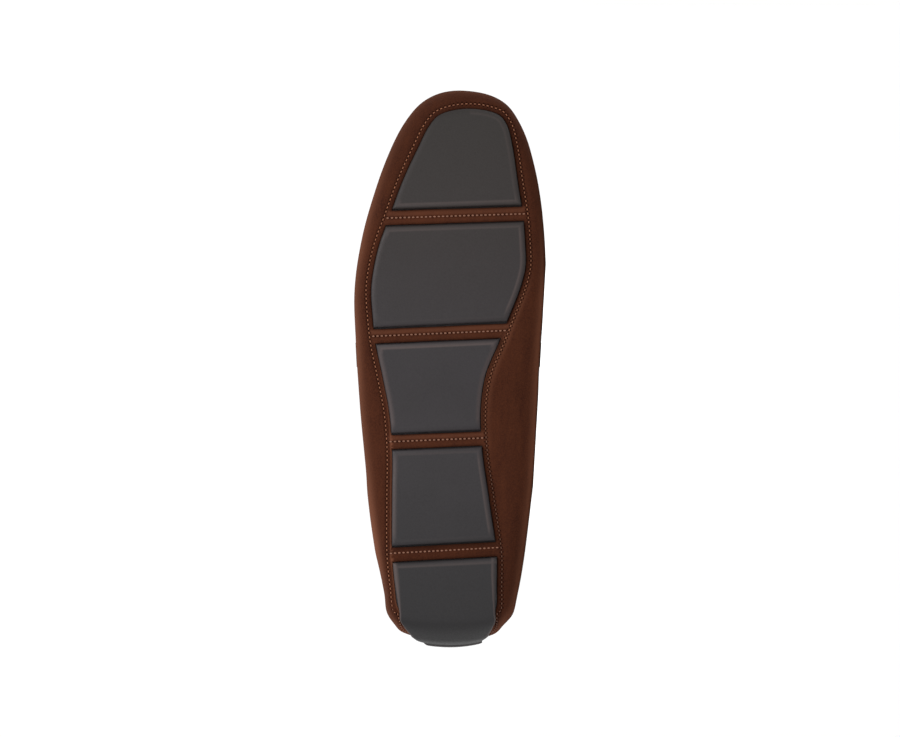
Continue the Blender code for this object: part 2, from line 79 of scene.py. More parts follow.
EDGE = table(
    "station lateral medial flat",
    (3.9, 1.0, 1.0, 10),
    (4.4, -21.5, 19.4, 14),
    (6.0, -27.4, 24.0, 24),
    (10.6, -29.6, 24.6, 33),
    (16.6, -31.0, 24.4, 36),
    (26.5, -31.0, 20.3, 36),
    (34.7, -30.9, 17.0, 36),
    (41.7, -32.5, 16.1, 36),
    (48.1, -36.0, 18.6, 36),
    (54.1, -39.6, 25.6, 36),
    (59.1, -41.2, 31.3, 36),
    (63.7, -41.9, 36.6, 36),
    (67.9, -40.4, 39.7, 36),
    (72.2, -37.4, 39.5, 36),
    (76.8, -32.5, 38.5, 36),
    (83.1, -25.8, 35.7, 36),
    (89.5, -17.3, 33.0, 36),
    (93.7, -11.0, 29.8, 36),
    (95.7, -5.0, 24.6, 34),
    (96.7, 9.7, 9.7, 32),
)
WIDEST = table(
    "station lateral medial lateral_rise medial_rise",
    (0.0, 0.0, 0.0, 24.0, 24.0),
    (1.45, -24.2, 22.1, 23.0, 22.0),
    (3.1, -29.5, 27.3, 22.0, 20.5),
    (5.3, -33.4, 32.5, 21.0, 19.0),
    (8.8, -34.7, 35.5, 20.0, 17.0),
    (17.7, -39.4, 39.7, 18.0, 13.5),
    (30.8, -44.1, 44.1, 16.0, 10.5),
    (43.9, -47.8, 46.0, 15.0, 9.5),
    (54.8, -49.7, 47.6, 14.0, 9.0),
    (63.3, -50.4, 49.6, 13.0, 8.8),
    (72.2, -46.8, 49.6, 12.5, 9.2),
    (81.0, -40.1, 47.1, 13.0, 10.5),
    (89.5, -31.0, 41.8, 13.5, 12.0),
    (94.1, -24.0, 36.4, 14.0, 13.0),
    (97.6, -15.6, 29.1, 14.5, 14.0),
    (99.4, -6.1, 18.9, 15.0, 15.0),
    (100.0, 5.1, 5.1, 15.0, 15.0),
)
RIM = table(
    "station lateral medial height",
    (1.8, 0.5, 0.5, 72.1),
    (2.65, -14.3, 14.3, 71.5),
    (5.0, -22.5, 22.5, 69.8),
    (10.6, -28.1, 28.1, 64.5),
    (19.5, -31.7, 31.7, 57.5),
    (28.3, -33.3, 32.8, 56.0),
    (37.1, -32.5, 32.2, 60.5),
    (42.5, -31.0, 31.3, 67.5),
    (47.4, -29.6, 30.2, 75.0),
    (53.0, -30.0, 30.2, 72.7),
    (58.4, -31.7, 30.7, 66.0),
    (67.2, -34.3, 33.8, 54.7),
    (76.1, -31.7, 35.8, 46.5),
    (84.2, -25.1, 33.8, 41.9),
    (89.8, -15.4, 28.7, 40.1),
    (92.7, -6.1, 20.5, 40.1),
    (93.6, 7.2, 7.2, 40.1),
)
CROWN = table(
    "station height",
    (40.0, 104.0),
    (47.4, 100.0),
    (53.0, 90.5),
    (58.4, 82.5),
    (67.2, 69.2),
    (76.1, 58.9),
    (84.2, 51.4),
    (89.8, 46.4),
    (92.7, 42.3),
    (93.6, 40.1),
)
# Suede bars under the foot from the heel to the toe: middle in millimetres, slant in degrees, how far the
# stitch row lies off the middle towards the toe, and how much painted light the halves before and behind it
# get; less than 0 is painted shade
BARS = table(
    "middle slant row front rear",
    (46.2, 3.1, 0.9, -0.35, 0.0),
    (103.4, 2.3, 0.3, 0.33, 0.08),
    (158.0, 2.5, 0.1, 0.34, 0.08),
    (217.9, 1.8, -0.1, 0.27, 0.1),
)
print("last:", LENGTH, "mm long,", BALL_WIDTH, "mm at the ball")

# %% [markdown]
# ## From the tables to a surface
# A smooth cubic through each column gives the four lines, and the wall is drawn through them: flat from
# the window to the feather line, a quarter round up to the widest line, and a slower curve in to the rim.
# These functions return a point of the shoe for a side, a turn (0 heel, 1 toe) and a level (0 window to 3
# rim).


# %% Curves through the tables
def spline(knots, values, at):
    """Smooth curve through a table: cubic pieces, each knot's slope taken from its neighbours."""
    last = len(knots) - 1
    at = min(max(at, knots[0]), knots[last])
    piece = 0
    while piece < last - 1 and at > knots[piece + 1]:
        piece += 1

    def slope(knot):
        before, after = max(knot - 1, 0), min(knot + 1, last)
        return (values[after] - values[before]) / (knots[after] - knots[before])

    span = knots[piece + 1] - knots[piece]
    s = (at - knots[piece]) / span
    return (
        values[piece] * (1 + 2 * s) * (1 - s) ** 2
        + slope(piece) * span * s * (1 - s) ** 2
        + values[piece + 1] * s * s * (3 - 2 * s)
        + slope(piece + 1) * span * s * s * (s - 1)
    )


def ramp(value, start, end):
    """0 before start, 1 after end, smooth between."""
    s = min(max((value - start) / (end - start), 0.0), 1.0)
    return s * s * (3 - 2 * s)


def turn_of(line, x):
    """How far round a line station x lies: 0 at the heel, 1 at the toe, close-set at both ends."""
    rear, front = line["station"][0], line["station"][-1]
    share = min(max((100 * x / LENGTH - rear) / (front - rear), 0.0), 1.0)
    return math.acos(1 - 2 * share) / math.pi


def column(line, name, turn):
    """Value of a line's column at a turn."""
    if "turns" not in line:
        line["turns"] = [turn_of(line, station * LENGTH / 100) for station in line["station"]]
    return spline(line["turns"], line[name], turn)


def plan(line, side, turn):
    """Point of a line seen from above."""
    rear, front = line["station"][0], line["station"][-1]
    x = LENGTH / 100 * (rear + (front - rear) * (1 - math.cos(math.pi * turn)) / 2)
    y = BALL_WIDTH / 100 * column(line, SIDE_NAMES[side], turn)
    return Vector((x, y))


def bottom(x):
    """Height of the suede's underside: the tread with arch, toe spring and rolled heel, then the pads."""
    arch = min(max((x - ARCH_REAR) / (ARCH_FRONT - ARCH_REAR), 0.0), 1.0)
    spring = max((x - SPRING_START) / (LENGTH - SPRING_START), 0.0)
    roll = max((ROLL_START - x) / ROLL_START, 0.0)
    tread = ARCH_LIFT * math.sin(math.pi * arch) ** 2 + TOE_SPRING * spring**SPRING_BEND
    return tread + HEEL_ROLL * roll**2 + PAD_PROUD


print("underside at the toe:", round(bottom(LENGTH), 1), "mm above the floor of a standing shoe")


# %% The shoe's place on the floor
def rest_line():
    """Floor seen from above: level at REST_WAIST and slope along the medial side."""
    waist = plan(WIDEST, MEDIAL, turn_of(WIDEST, REST_WAIST))
    ball = plan(WIDEST, MEDIAL, turn_of(WIDEST, REST_BALL))
    return waist, (ball.y - waist.y) / (ball.x - waist.x)


REST_POINT, REST_SLOPE = rest_line()
# Where the CAD model's box, centred over the origin, puts the standing shoe's own origin, in metres
SHOE_AT = (-0.1395159, -0.0419884, 0.0376126)
forward = Vector((1, REST_SLOPE, 0)).normalized()
upward = Vector((REST_SLOPE, -1, math.tan(REST_LEAN))).normalized()
SHOE_TURN = Matrix((forward, upward.cross(forward), upward))
SHOE_POSE = Matrix.Translation(SHOE_AT) @ SHOE_TURN.to_4x4() @ Matrix.Scale(0.001, 4)


def pressed(point):
    """Suede flattened where it lies on the floor."""
    floor = REST_POINT.y + REST_SLOPE * (point.x - REST_POINT.x) - SETTLE
    floor += math.tan(REST_LEAN) * (point.z - REST_HEIGHT)
    return Vector((point.x, min(point.y, floor), point.z))


print("floor runs along the medial side with a slope of", round(REST_SLOPE, 4))


# %% Wall and crown of the upper
def rim_point(side, turn):
    """Upper edge of the wall: topline behind the throat, apron seam in front of it."""
    flat = plan(RIM, side, turn)
    raised = SEAM_PROUD * ramp(flat.x, *SEAM_FADE)
    height = INSTEP_HEIGHT / 100 * column(RIM, "height", turn)
    return Vector((flat.x, flat.y + SEAM_LEAN * side * raised, height + raised))


def wall_point(side, turn, level):
    """Outside of the upper from the window's edge (0) to the rim (3)."""
    edge, widest = plan(EDGE, side, turn), plan(WIDEST, side, turn)
    feather = edge.lerp(widest, column(EDGE, "flat", turn) / 100)
    if level <= 1:
        flat = edge.lerp(feather, level)
        return pressed(Vector((flat.x, flat.y, bottom(flat.x))))
    rise = column(WIDEST, SIDE_NAMES[side] + "_rise", turn)
    widest_height = bottom(widest.x) + INSTEP_HEIGHT / 100 * rise
    if level <= 2:
        angle = (level - 1) * math.pi / 2
        flat = feather.lerp(widest, math.sin(angle))
        low = bottom(flat.x)
        return pressed(Vector((flat.x, flat.y, low + (widest_height - low) * (1 - math.cos(angle)))))
    if level >= 3:
        return rim_point(side, turn)
    rim = plan(RIM, side, turn)
    rim_height = INSTEP_HEIGHT / 100 * column(RIM, "height", turn)
    curl = COLLAR_CURL + (TOE_CURL - COLLAR_CURL) * ramp(rim.x, THROAT, CURL_END)
    angle = (level - 2) * curl
    flat = widest.lerp(rim, (1 - math.cos(angle)) / (1 - math.cos(curl)))
    height = widest_height + (rim_height - widest_height) * math.sin(angle) / math.sin(curl)
    return pressed(Vector((flat.x, flat.y, height)))


def crown_point(row, spot):
    """Apron and tongue across one row: spot -1 lateral rim, 0 middle, 1 medial rim."""
    lateral, medial = (rim_point(side, row[side]) for side in SIDES)
    point = lateral.lerp(medial, (spot + 1) / 2)
    if abs(spot) == 1:
        return point
    raised = SEAM_PROUD * ramp(point.x, *SEAM_FADE)
    dome = 1 - abs(spot) ** DOME_BEND
    crown = INSTEP_HEIGHT / 100 * spline(CROWN["station"], CROWN["height"], 100 * point.x / LENGTH)
    point.z += (crown - point.z + raised) * dome - raised
    point.x -= TONGUE_SWEEP * (1 - ramp(point.x, THROAT, SWEEP_END)) * dome
    return point


print("topline at the heel:", round(rim_point(MEDIAL, 0).z, 1), "mm high")

# %% [markdown]
# ## Rows from heel to toe
# Every sheet on the shoe is a grid of rows across the foot. The rows follow the slanted suede bars, so
# that wall and bars share their points and can be welded. A row keeps its turn on each side. In a bar it
# also keeps how far it lies from the bar's stitch row and from the bar's edge, in millimetres, and its
# tone, which is painted light or painted shade.


# %% Rows that follow the bars
def bar_edge_turn(side, x, slant):
    """Turn at which a slanted bar's edge meets the window line."""
    turn = turn_of(EDGE, x)
    for _ in range(5):
        turn = turn_of(EDGE, x + math.tan(math.radians(slant)) * plan(EDGE, side, turn).y)
    return turn


def row_keys(behind, ahead):
    """Rows at the heel, at both edges of each bar, which is widened behind and ahead, and at the toe."""
    keys = [{LATERAL: 0.0, MEDIAL: 0.0}]
    for middle, slant in zip(BARS["middle"], BARS["slant"]):
        for x in (middle - BAR_WIDTH / 2 - behind, middle + BAR_WIDTH / 2 + ahead):
            keys.append({side: bar_edge_turn(side, x, slant) for side in SIDES})
    return keys + [{LATERAL: 1.0, MEDIAL: 1.0}]


KEYS = row_keys(0, 0)
NO_BAR = {"off": 99.0, "rim": 0.0, "tone": 0.0}
BAR_SHARES = (0, 0.03, 0.07, 0.12, 0.2, 0.32, 0.42, 0.46, 0.5, 0.54, 0.58, 0.68, 0.8, 0.88, 0.93, 0.97, 1)
# A bar half's painted light or shade starts this far from the stitch row and is full here, in millimetres
BAR_TONE_SPAN = (0.2, 1.4)


def bar_row(keys, bar, share):
    """Row at a share of the way through a bar."""
    ends = keys[2 * bar + 1], keys[2 * bar + 2]
    row = {s: ends[0][s] + share * (ends[1][s] - ends[0][s]) for s in SIDES}
    row["off"] = BAR_WIDTH * (share - 0.5) - BARS["row"][bar]
    row["rim"] = BAR_WIDTH * min(share, 1 - share)
    half = "front" if row["off"] > 0 else "rear"
    # A bar half's tone is painted light, or painted shade where it is below 0
    row["tone"] = BARS[half][bar] * ramp(abs(row["off"]), *BAR_TONE_SPAN) * ramp(row["rim"], 0, 1)
    return row


def rows_between(keys, first, last, steps):
    """Rows from one key to another. Bars have their own shares, pads have equal steps."""
    rows = []
    for index in range(first, last):
        if index % 2 == 1:
            rows += [bar_row(keys, index // 2, share) for share in BAR_SHARES[:-1]]
            continue
        for step in range(steps[index // 2]):
            share = step / steps[index // 2]
            row = {s: keys[index][s] + share * (keys[index + 1][s] - keys[index][s]) for s in SIDES}
            rows.append(dict(row, **NO_BAR))
    return rows + [dict(keys[last], **NO_BAR)]


def rows_past(rows, x):
    """Rows whose rim lies in front of station x."""
    return [row for row in rows if plan(RIM, MEDIAL, row[MEDIAL]).x > x]


# Steps beside each pad, from the heel to the toe
FINE_STEPS = (64, 34, 34, 34, 84)
LAST_KEY = len(KEYS) - 1
FINE_ROWS = rows_between(KEYS, 0, LAST_KEY, FINE_STEPS)
VAMP_ROWS = rows_past(FINE_ROWS, THROAT)
print("rows from heel to toe:", len(FINE_ROWS))

# %% [markdown]
# ## Tools for pieces
# Most pieces are a Blender grid laid over a form, a disc pulled to an outline, or a tube along a path.
# Each starts from a create operator, and its points are then moved to their place. `finished` welds
# nothing: it lays the piece down, smooths it, hands it its material and lets it ride on the shoe.


# %% Grid, weld and tube
def draped(bm, along, across, place):
    """Lays a grid over a form: place(i, j) gives the point of line i along and line j across."""
    made = bmesh.ops.create_grid(bm, x_segments=along, y_segments=across, size=0.5)["verts"]
    for vert in made:
        vert.co = place(round((vert.co.x + 0.5) * along), round((vert.co.y + 0.5) * across))
    return made


WELD = 0.004


def welded(bm):
    """Joins grids where their points meet, drops edges left without a face and turns faces outwards."""
    bmesh.ops.remove_doubles(bm, verts=bm.verts[:], dist=WELD)
    bmesh.ops.delete(bm, geom=[edge for edge in bm.edges if not edge.link_faces], context="EDGES")
    bmesh.ops.recalc_face_normals(bm, faces=bm.faces[:])


def tube(bm, path, radii, around=8):
    """Round tube along a list of points, with a radius for each point."""
    last = len(path) - 1

    def place(i, j):
        along = (path[min(i + 1, last)] - path[max(i - 1, 0)]).normalized()
        if (path[0] - path[last]).length < 1e-6 and i in (0, last):
            along = (path[1] - path[last - 1]).normalized()
        side = along.cross(Vector((0, 0, 1))).normalized()
        angle = 2 * math.pi * j / around
        return path[i] + radii[i] * (math.cos(angle) * side + math.sin(angle) * side.cross(along))

    draped(bm, last, around, place)


# %% Objects and finish
def placed(name, bm):
    """Object made from a bmesh and linked to the scene."""
    mesh = bpy.data.meshes.new(name)
    bm.to_mesh(mesh)
    bm.free()
    made = bpy.data.objects.new(name, mesh)
    bpy.context.scene.collection.objects.link(made)
    return made


def finished(name, bm, look, replaces=None, sharp=35):
    """Lays a mesh down with the shoe, smooths it and lets it ride on the shoe's body."""
    bmesh.ops.transform(bm, matrix=SHOE_POSE, verts=bm.verts[:])
    piece = placed(name, bm)
    piece.data.shade_smooth()
    piece.data.set_sharp_from_angle(angle=math.radians(sharp))
    piece.data.materials.append(look)
    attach(piece, "root")
    if replaces:
        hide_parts(replaces)
    print(name, "has", len(piece.data.polygons), "faces")
    return piece


# %% [markdown]
# ## Materials
# Colours are written as the sRGB codes that a picture editor shows, and one function turns them to the
# linear values that Blender mixes. One small function adds a node, sets its values and links its inputs.


# %% Colour and node helpers
def colour(code):
    """Linear colour from an sRGB hex code."""
    parts = [int(code[i : i + 2], 16) / 255 for i in (1, 3, 5)]
    return [c / 12.92 if c <= 0.04045 else ((c + 0.055) / 1.055) ** 2.4 for c in parts] + [1.0]


def per_mm(size):
    """Texture scale, in waves a metre, for a pattern of this size in millimetres."""
    return 1000 / size


def fill(tree, node, values):
    """Fills a node's sockets. A value is a number, a colour code or another node's output to link."""
    for socket, value in values.items():
        if isinstance(value, bpy.types.NodeSocket):
            tree.links.new(value, node.inputs[socket])
        else:
            node.inputs[socket].default_value = colour(value) if isinstance(value, str) else value


def add(tree, kind, out, values, **settings):
    """Adds a node with its settings and links, and returns the output called out."""
    made = tree.nodes.new("ShaderNode" + kind)
    for name, setting in settings.items():
        setattr(made, name, setting)
    fill(tree, made, values)
    return made.outputs[out]


def new_material(name, values):
    """Material with its Principled shader's own sockets set: material, node tree, shader."""
    made = bpy.data.materials.new(name)
    made.use_nodes = True
    shader = made.node_tree.nodes["Principled BSDF"]
    fill(made.node_tree, shader, values)
    return made, made.node_tree, shader


# Numbered sockets of the Mix node when it mixes colours
MIX_FACTOR, MIX_A, MIX_B, MIX_OUT = 0, 6, 7, 2

# %% [markdown]
# ## Suede
# Suede is the flesh side of a hide, buffed until it has a nap. The short fibres scatter light, so it has
# no gloss, looks lighter where it turns away from the eye, and shows soft patches where a hand has
# brushed it. The nap is drawn at 0.7 mm, coarser than the real fibre, so that it shows. Patches are about
# 16 mm wide, and strokes of the brush run along the shoe. One attribute darkens the nap where stitches
# pull it down, partly real and partly painted shade in the groove, and also holds painted shade round the
# toe, on the medial heel and on some bar halves. The other attribute is painted light: a lit band along
# the widest line, light at the windows' cut edge and beside the arch stitches, and on bar halves.


# %% Suede material
def suede_material(name, deep, mid, light, painted_light):
    """Buffed suede: no gloss, a little sheen, and colours laid over each other by patch, stroke and nap."""
    sheen = {"Sheen Weight": 0.08, "Sheen Roughness": 0.4, "Sheen Tint": "#b5673c"}
    made, tree, shader = new_material(name, {"Roughness": 0.95, "Specular IOR Level": 0.05, **sheen})
    place = add(tree, "TexCoord", "Object", {})
    along = add(tree, "Mapping", "Vector", {"Vector": place, "Scale": (0.2, 1, 1)})
    base = deep
    # Place, width of the spots in millimetres, detail, start and end of the colour, its share, and its code
    for field, size, detail, low, high, most, code in (
        (place, 16, 3.0, 0.34, 0.66, 0.8, mid),
        (along, 3.5, 2.0, 0.3, 0.7, 0.3, light),
        (place, 0.7, 3.0, 0.3, 0.72, 0.6, light),
    ):
        nap = add(tree, "TexNoise", "Fac", {"Vector": field, "Scale": per_mm(size), "Detail": detail})
        limits = {"From Min": low, "From Max": high, "To Max": most}
        share = add(tree, "MapRange", "Result", {"Value": nap, **limits})
        layers = {MIX_FACTOR: share, MIX_A: base, MIX_B: code}
        base = add(tree, "Mix", MIX_OUT, layers, data_type="RGBA")
    # Painted light and painted shade, from two vertex attributes, are laid over the nap last
    for tone, code in (("painted_light", painted_light), ("seam", "#1c0c06")):
        share = add(tree, "Attribute", "Fac", {}, attribute_name=tone)
        layers = {MIX_FACTOR: share, MIX_A: base, MIX_B: code}
        base = add(tree, "Mix", MIX_OUT, layers, data_type="RGBA")
    # The last noise of the loop is the nap, which is also a fine relief
    bump = add(tree, "Bump", "Normal", {"Height": nap, "Strength": 0.55, "Distance": 0.0004})
    fill(tree, shader, {"Base Color": base, "Normal": bump})
    return made


# The last colour is that of the painted light
suede = suede_material("brown_suede", "#28120c", "#32180f", "#462516", "#643d2c")
print("suede ready")

# %% [markdown]
# ## The upper
# The upper is cut from suede about 1.3 mm thick and lined. It wraps under the foot, and bars of it run
# between the rubber pads. The sheet is one grid for each side, one for each bar and one for the apron and
# tongue, welded together. Where a stitch row runs, the sheet dips a little, and at the windows its edge
# turns in.

# %% Distances on the underside
SUEDE_LAYER = 1.25
STITCH_OUT = 2.2
DIP_WIDTH, DIP_DEPTH = 0.75, 0.4
EDGE_TURN, EDGE_DEPTH, EDGE_SIDE = 1.8, 0.42, 0.2
LIP, LIP_SIDE = 0.3, -0.1
NEAR_WINDOW = (0, 0.2, 0.45, 0.75, 1.1, 1.45, 1.7, 1.95, 2.2, 2.45, 2.7, 2.95, 3.3, 3.8)
CURVE_STEPS, SIDE_STEPS, BAR_STEPS = 14, 18, 36


def level_at(side, turn, distance):
    """Level of the wall at a distance in millimetres outside the window's edge."""
    edge, widest = plan(EDGE, side, turn), plan(WIDEST, side, turn)
    along = plan(EDGE, side, min(turn + 0.004, 1)) - plan(EDGE, side, max(turn - 0.004, 0))
    if turn in (0, 1):
        along = Vector((0, 1))
    across = widest - edge
    reach = abs(along.normalized().cross(across))
    flat = reach * column(EDGE, "flat", turn) / 100
    if distance <= flat:
        return distance / flat
    return 1 + (distance - flat) / ((reach - flat) * math.pi / 2)


def seam_share(distance, row):
    """How near a stitch row a point of the underside lies, 1 on the row."""
    share = math.exp(-(((distance - STITCH_OUT) / DIP_WIDTH) ** 2))
    if distance < STITCH_OUT:
        share = max(share, math.exp(-((row["off"] / DIP_WIDTH) ** 2)))
    return share


def sided(middle, apart, side, turn):
    """A size that differs by side, but is equal where the sides meet at heel and toe."""
    return middle + side * apart * ramp(turn, 0, 0.1) * (1 - ramp(turn, 0.9, 1))


def edge_depth(side, turn):
    """How deep the suede's edge is turned in."""
    return sided(EDGE_DEPTH, EDGE_SIDE, side, turn)


def underside_dip(distance, row, depth):
    """How far stitches and window edges draw the suede in."""
    gap = math.hypot(distance, row["rim"])
    turned_in = depth * max(0.0, 1 - gap / EDGE_TURN) ** 2
    return max(turned_in, DIP_DEPTH * seam_share(distance, row))


print("stitch row:", STITCH_OUT, "mm outside the windows, in a groove", DIP_DEPTH, "mm deep")

# %% Painted light and shade of the underside and the sides
# How much painted light lies along the widest line, by millimetres from the heel; more on the medial side,
# which the floor shades
PAINTED_WIDEST_LIGHT = table(
    "x lateral medial",
    (0, 0.4, 0.4),
    (15, 0.34, 0.75),
    (30, 0.5, 0.95),
    (48, 0.95, 0.95),
    (65, 0.82, 0.95),
    (88, 0.6, 0.95),
    (110, 0.5, 0.95),
    (145, 0.66, 0.95),
    (182, 0.5, 0.85),
    (205, 0.55, 0.3),
    (228, 0.48, 0.0),
    (265, 0.22, 0.0),
    (284, 0.1, 0.1),
)
WIDEST_LIGHT_FADE, ARCH_LIGHT, CUT_EDGE_LIGHT, PAINTED_SHADE_SHARE = 2.7, 0.36, 0.85, 0.2
# How dark a seam is, crushed nap and painted shade in its groove: on a bar, more round the windows, and
# more painted shade on the medial side
BAR_DARK, RING_DARK, MEDIAL_SHADE = 0.2, 0.1, 0.25


def widest_light_share(side, turn, level, point):
    """How much painted light a point of the wall has: most along the widest line."""
    widest = wall_point(side, turn, 2)
    off = (point.xy - widest.xy).length if level <= 2 else 0.4 * (point - widest).length
    share = spline(PAINTED_WIDEST_LIGHT["x"], PAINTED_WIDEST_LIGHT[SIDE_NAMES[side]], point.x)
    return max(share, 0.0) * math.exp(-((off / WIDEST_LIGHT_FADE) ** 2))


def arch_light_share(distance, x):
    """The suede also gets painted light beside the stitches along the arch."""
    along = ramp(x, 75, 140) * (1 - ramp(x, 170, 195))
    return ARCH_LIGHT * along * ramp(distance, 0.4, 1.4) * (1 - ramp(distance, 2.5, 6.5))


def cut_edge_light_share(side, distance, x):
    """Painted light at the window's edge on the lateral side of the heel and by the arch, against the shade
    of the gap.
    """
    along = 1 - ramp(x, 100, 170) if side == LATERAL else ramp(x, 100, 115) * (1 - ramp(x, 145, 160))
    return CUT_EDGE_LIGHT * along * (1 - ramp(distance, 0, 0.9))


def painted_shade(point):
    """Painted shade: a little darker round the toe and on the medial side of the heel."""
    medial_heel = (1 - ramp(point.x, 30, 75)) * ramp(point.y, 0, 12)
    low = 1 - ramp(point.z - bottom(point.x), 10, 22)
    return PAINTED_SHADE_SHARE * low * max(ramp(point.x, 215, 255), medial_heel)


def toned(vert, layers, distance, row, painted_light=0.0):
    """Writes a point's seam darkness with painted shade, and its painted light."""
    tone = row["tone"] * (1 - ramp(distance, 0.5, 2.0))
    dark = BAR_DARK + (RING_DARK + MEDIAL_SHADE * ramp(vert.co.y, -8, 8)) * ramp(distance, 0.5, 1.5)
    vert[layers["seam"]] = max(dark * seam_share(distance, row) ** 2, -tone, painted_shade(vert.co))
    vert[layers["painted_light"]] = max(painted_light, tone)


# The stations are those of the painted light along the widest line
print("rubbed nap is given at", len(PAINTED_WIDEST_LIGHT["x"]), "stations")

# %% [markdown]
# A new shoe has no wear creases, but soft leather is never quite even. A few troughs lie
# where the vamp breaks and where the collar relaxes, and slow noise moves the rest by a fraction of a
# millimetre.

# %% Soft troughs
# Start and end of each trough in millimetres on the standing shoe, its half width and depth; a depth below
# 0 is a swelling
TROUGHS = table(
    "start end width depth",
    ((187, -46, 28), (176, -35, 44), 5.0, 0.7),
    ((202, -43, 27), (196, -33, 38), 5.5, 0.55),
    ((183, 45, 27), (172, 34, 46), 5.0, 0.7),
    ((199, 44, 26), (193, 34, 40), 5.5, 0.55),
    ((98, -42, 36), (108, -36, 50), 8.0, 0.8),
    ((98, 42, 36), (108, 35, 50), 8.0, 0.8),
    ((49, -36, 36), (52, -33, 46), 7.0, 0.7),
    ((49, 36, 36), (52, 33, 46), 7.0, 0.7),
    ((23, -30, 32), (20, -27, 44), 4.5, 0.5),
    ((23, 29, 32), (20, 27, 44), 4.5, 0.5),
    ((206, -24, 56), (204, 26, 56), 7.0, 0.6),
    ((222, -20, 50), (221, 24, 50), 6.0, 0.4),
    ((48, -39, 17), (74, -43, 17), 10.0, -0.75),
    ((5, 22, 22), (13, 30, 18), 6.0, -0.9),
)
SWELL_MM, SWELL_SIZE = 0.22, 24.0


def softness(point):
    """How far soft leather stands out of the drawn form at a point."""
    out = SWELL_MM * noise.noise(point / SWELL_SIZE)
    for start, end, width, depth in zip(*TROUGHS.values()):
        start, end = Vector(start), Vector(end)
        line = end - start
        share = min(max((point - start).dot(line) / line.length_squared, 0.0), 1.0)
        off = (point - start - share * line).length
        if off < 3 * width:
            out -= depth * math.exp(-((off / width) ** 2))
    return out


print("troughs and swellings:", len(TROUGHS["depth"]))

# %% Walls, bars and apron as grids
CROWN_SPOTS = [-1 + 2 * step / 40 for step in range(41)]


def wall_levels(side, row):
    """Levels of a row's points. Beside a pad the suede reaches over its window, almost to the rubber."""
    turn = row[side]
    near = [level_at(side, turn, distance) for distance in NEAR_WINDOW]
    if row["off"] == NO_BAR["off"]:
        near[0] = level_at(side, turn, -sided(LIP, LIP_SIDE, side, turn))
    curve = [near[-1] + (2 - near[-1]) * (step + 1) / CURVE_STEPS for step in range(CURVE_STEPS)]
    return near + curve + [2 + (step + 1) / SIDE_STEPS for step in range(SIDE_STEPS)]


def suede_wall(bm, side, layers):
    """One side of the upper from the windows to the rim."""
    levels = [wall_levels(side, row) for row in FINE_ROWS]

    def place(i, j):
        point = wall_point(side, FINE_ROWS[i][side], levels[i][j])
        if j < len(NEAR_WINDOW):
            turn = FINE_ROWS[i][side]
            point.z += underside_dip(NEAR_WINDOW[j], FINE_ROWS[i], edge_depth(side, turn))
        return point

    across = len(FINE_ROWS)
    for index, vert in enumerate(draped(bm, across - 1, len(levels[0]) - 1, place)):
        i, j = index % across, index // across
        turn = FINE_ROWS[i][side]
        distance = NEAR_WINDOW[j] if j < len(NEAR_WINDOW) else (vert.co.xy - plan(EDGE, side, turn)).length
        painted_light = max(widest_light_share(side, turn, levels[i][j], vert.co), cut_edge_light_share(side, distance, vert.co.x))
        if side == MEDIAL:
            painted_light = max(painted_light, arch_light_share(distance, vert.co.x))
        toned(vert, layers, distance, FINE_ROWS[i], painted_light)


def suede_bar(bm, bar, layers):
    """One bar between two pads."""
    rows = [bar_row(KEYS, bar, share) for share in BAR_SHARES]

    def place(i, j):
        ends = [wall_point(side, rows[i][side], 0) for side in SIDES]
        depths = [edge_depth(side, rows[i][side]) for side in SIDES]
        point = ends[0].lerp(ends[1], j / BAR_STEPS)
        depth = depths[0] + ramp(j, 0, 4) * (depths[1] - depths[0])
        point.z = bottom(point.x) + underside_dip(0, rows[i], depth)
        return point

    for index, vert in enumerate(draped(bm, len(rows) - 1, BAR_STEPS, place)):
        toned(vert, layers, 0.0, rows[index % len(rows)])


def apron(bm, rows, spots):
    """Apron and tongue from the throat to the toe."""
    draped(bm, len(rows) - 1, len(spots) - 1, lambda i, j: crown_point(rows[i], spots[j]))


def faced_out(bm):
    """Turns an open sheet's faces the way its foremost one should look."""
    bmesh.ops.recalc_face_normals(bm, faces=bm.faces[:])
    toe = max(bm.faces, key=lambda face: face.calc_center_median().x)
    if toe.normal.x < 0:
        bmesh.ops.reverse_faces(bm, faces=bm.faces[:])
    bm.normal_update()


# %% The suede sheet
bm = bmesh.new()
tones = {name: bm.verts.layers.float.new(name) for name in ("seam", "painted_light")}
for side in SIDES:
    suede_wall(bm, side, tones)
for bar in range(len(BARS["middle"])):
    suede_bar(bm, bar, tones)
apron(bm, VAMP_ROWS, CROWN_SPOTS)
welded(bm)
faced_out(bm)
for vert in bm.verts:
    vert.co = pressed(vert.co + vert.normal * softness(vert.co))
upper = finished("upper_suede", bm, suede, "upper", sharp=60)
wall = upper.modifiers.new("suede_thickness", "SOLIDIFY")
wall.thickness, wall.offset = SUEDE_LAYER / 1000, -1.0

# %% [markdown]
# ## Lining
# Inside, the suede is lined with thin smooth leather, tanned to a light brown. It is the same sheet at a
# coarser step, moved in by the suede's thickness, and it starts just under the edge of the footbed.


# %% Lining leather and lining
def leather_material(name, deep, light, grain_mm):
    """Smooth full-grain leather: fine pores, a little gloss, slow changes of tone."""
    made, tree, shader = new_material(name, {"Roughness": 0.55})
    place = add(tree, "TexCoord", "Object", {})
    grain = {"Vector": place, "Scale": per_mm(grain_mm)}
    pores = add(tree, "TexVoronoi", "Distance", grain, feature="SMOOTH_F1")
    tone = add(tree, "TexNoise", "Fac", {"Vector": place, "Scale": per_mm(22), "Detail": 4.0})
    base = add(tree, "Mix", MIX_OUT, {MIX_FACTOR: tone, MIX_A: deep, MIX_B: light}, data_type="RGBA")
    bump = add(tree, "Bump", "Normal", {"Height": pores, "Strength": 0.3, "Distance": 0.0003})
    fill(tree, shader, {"Base Color": base, "Normal": bump})
    return made


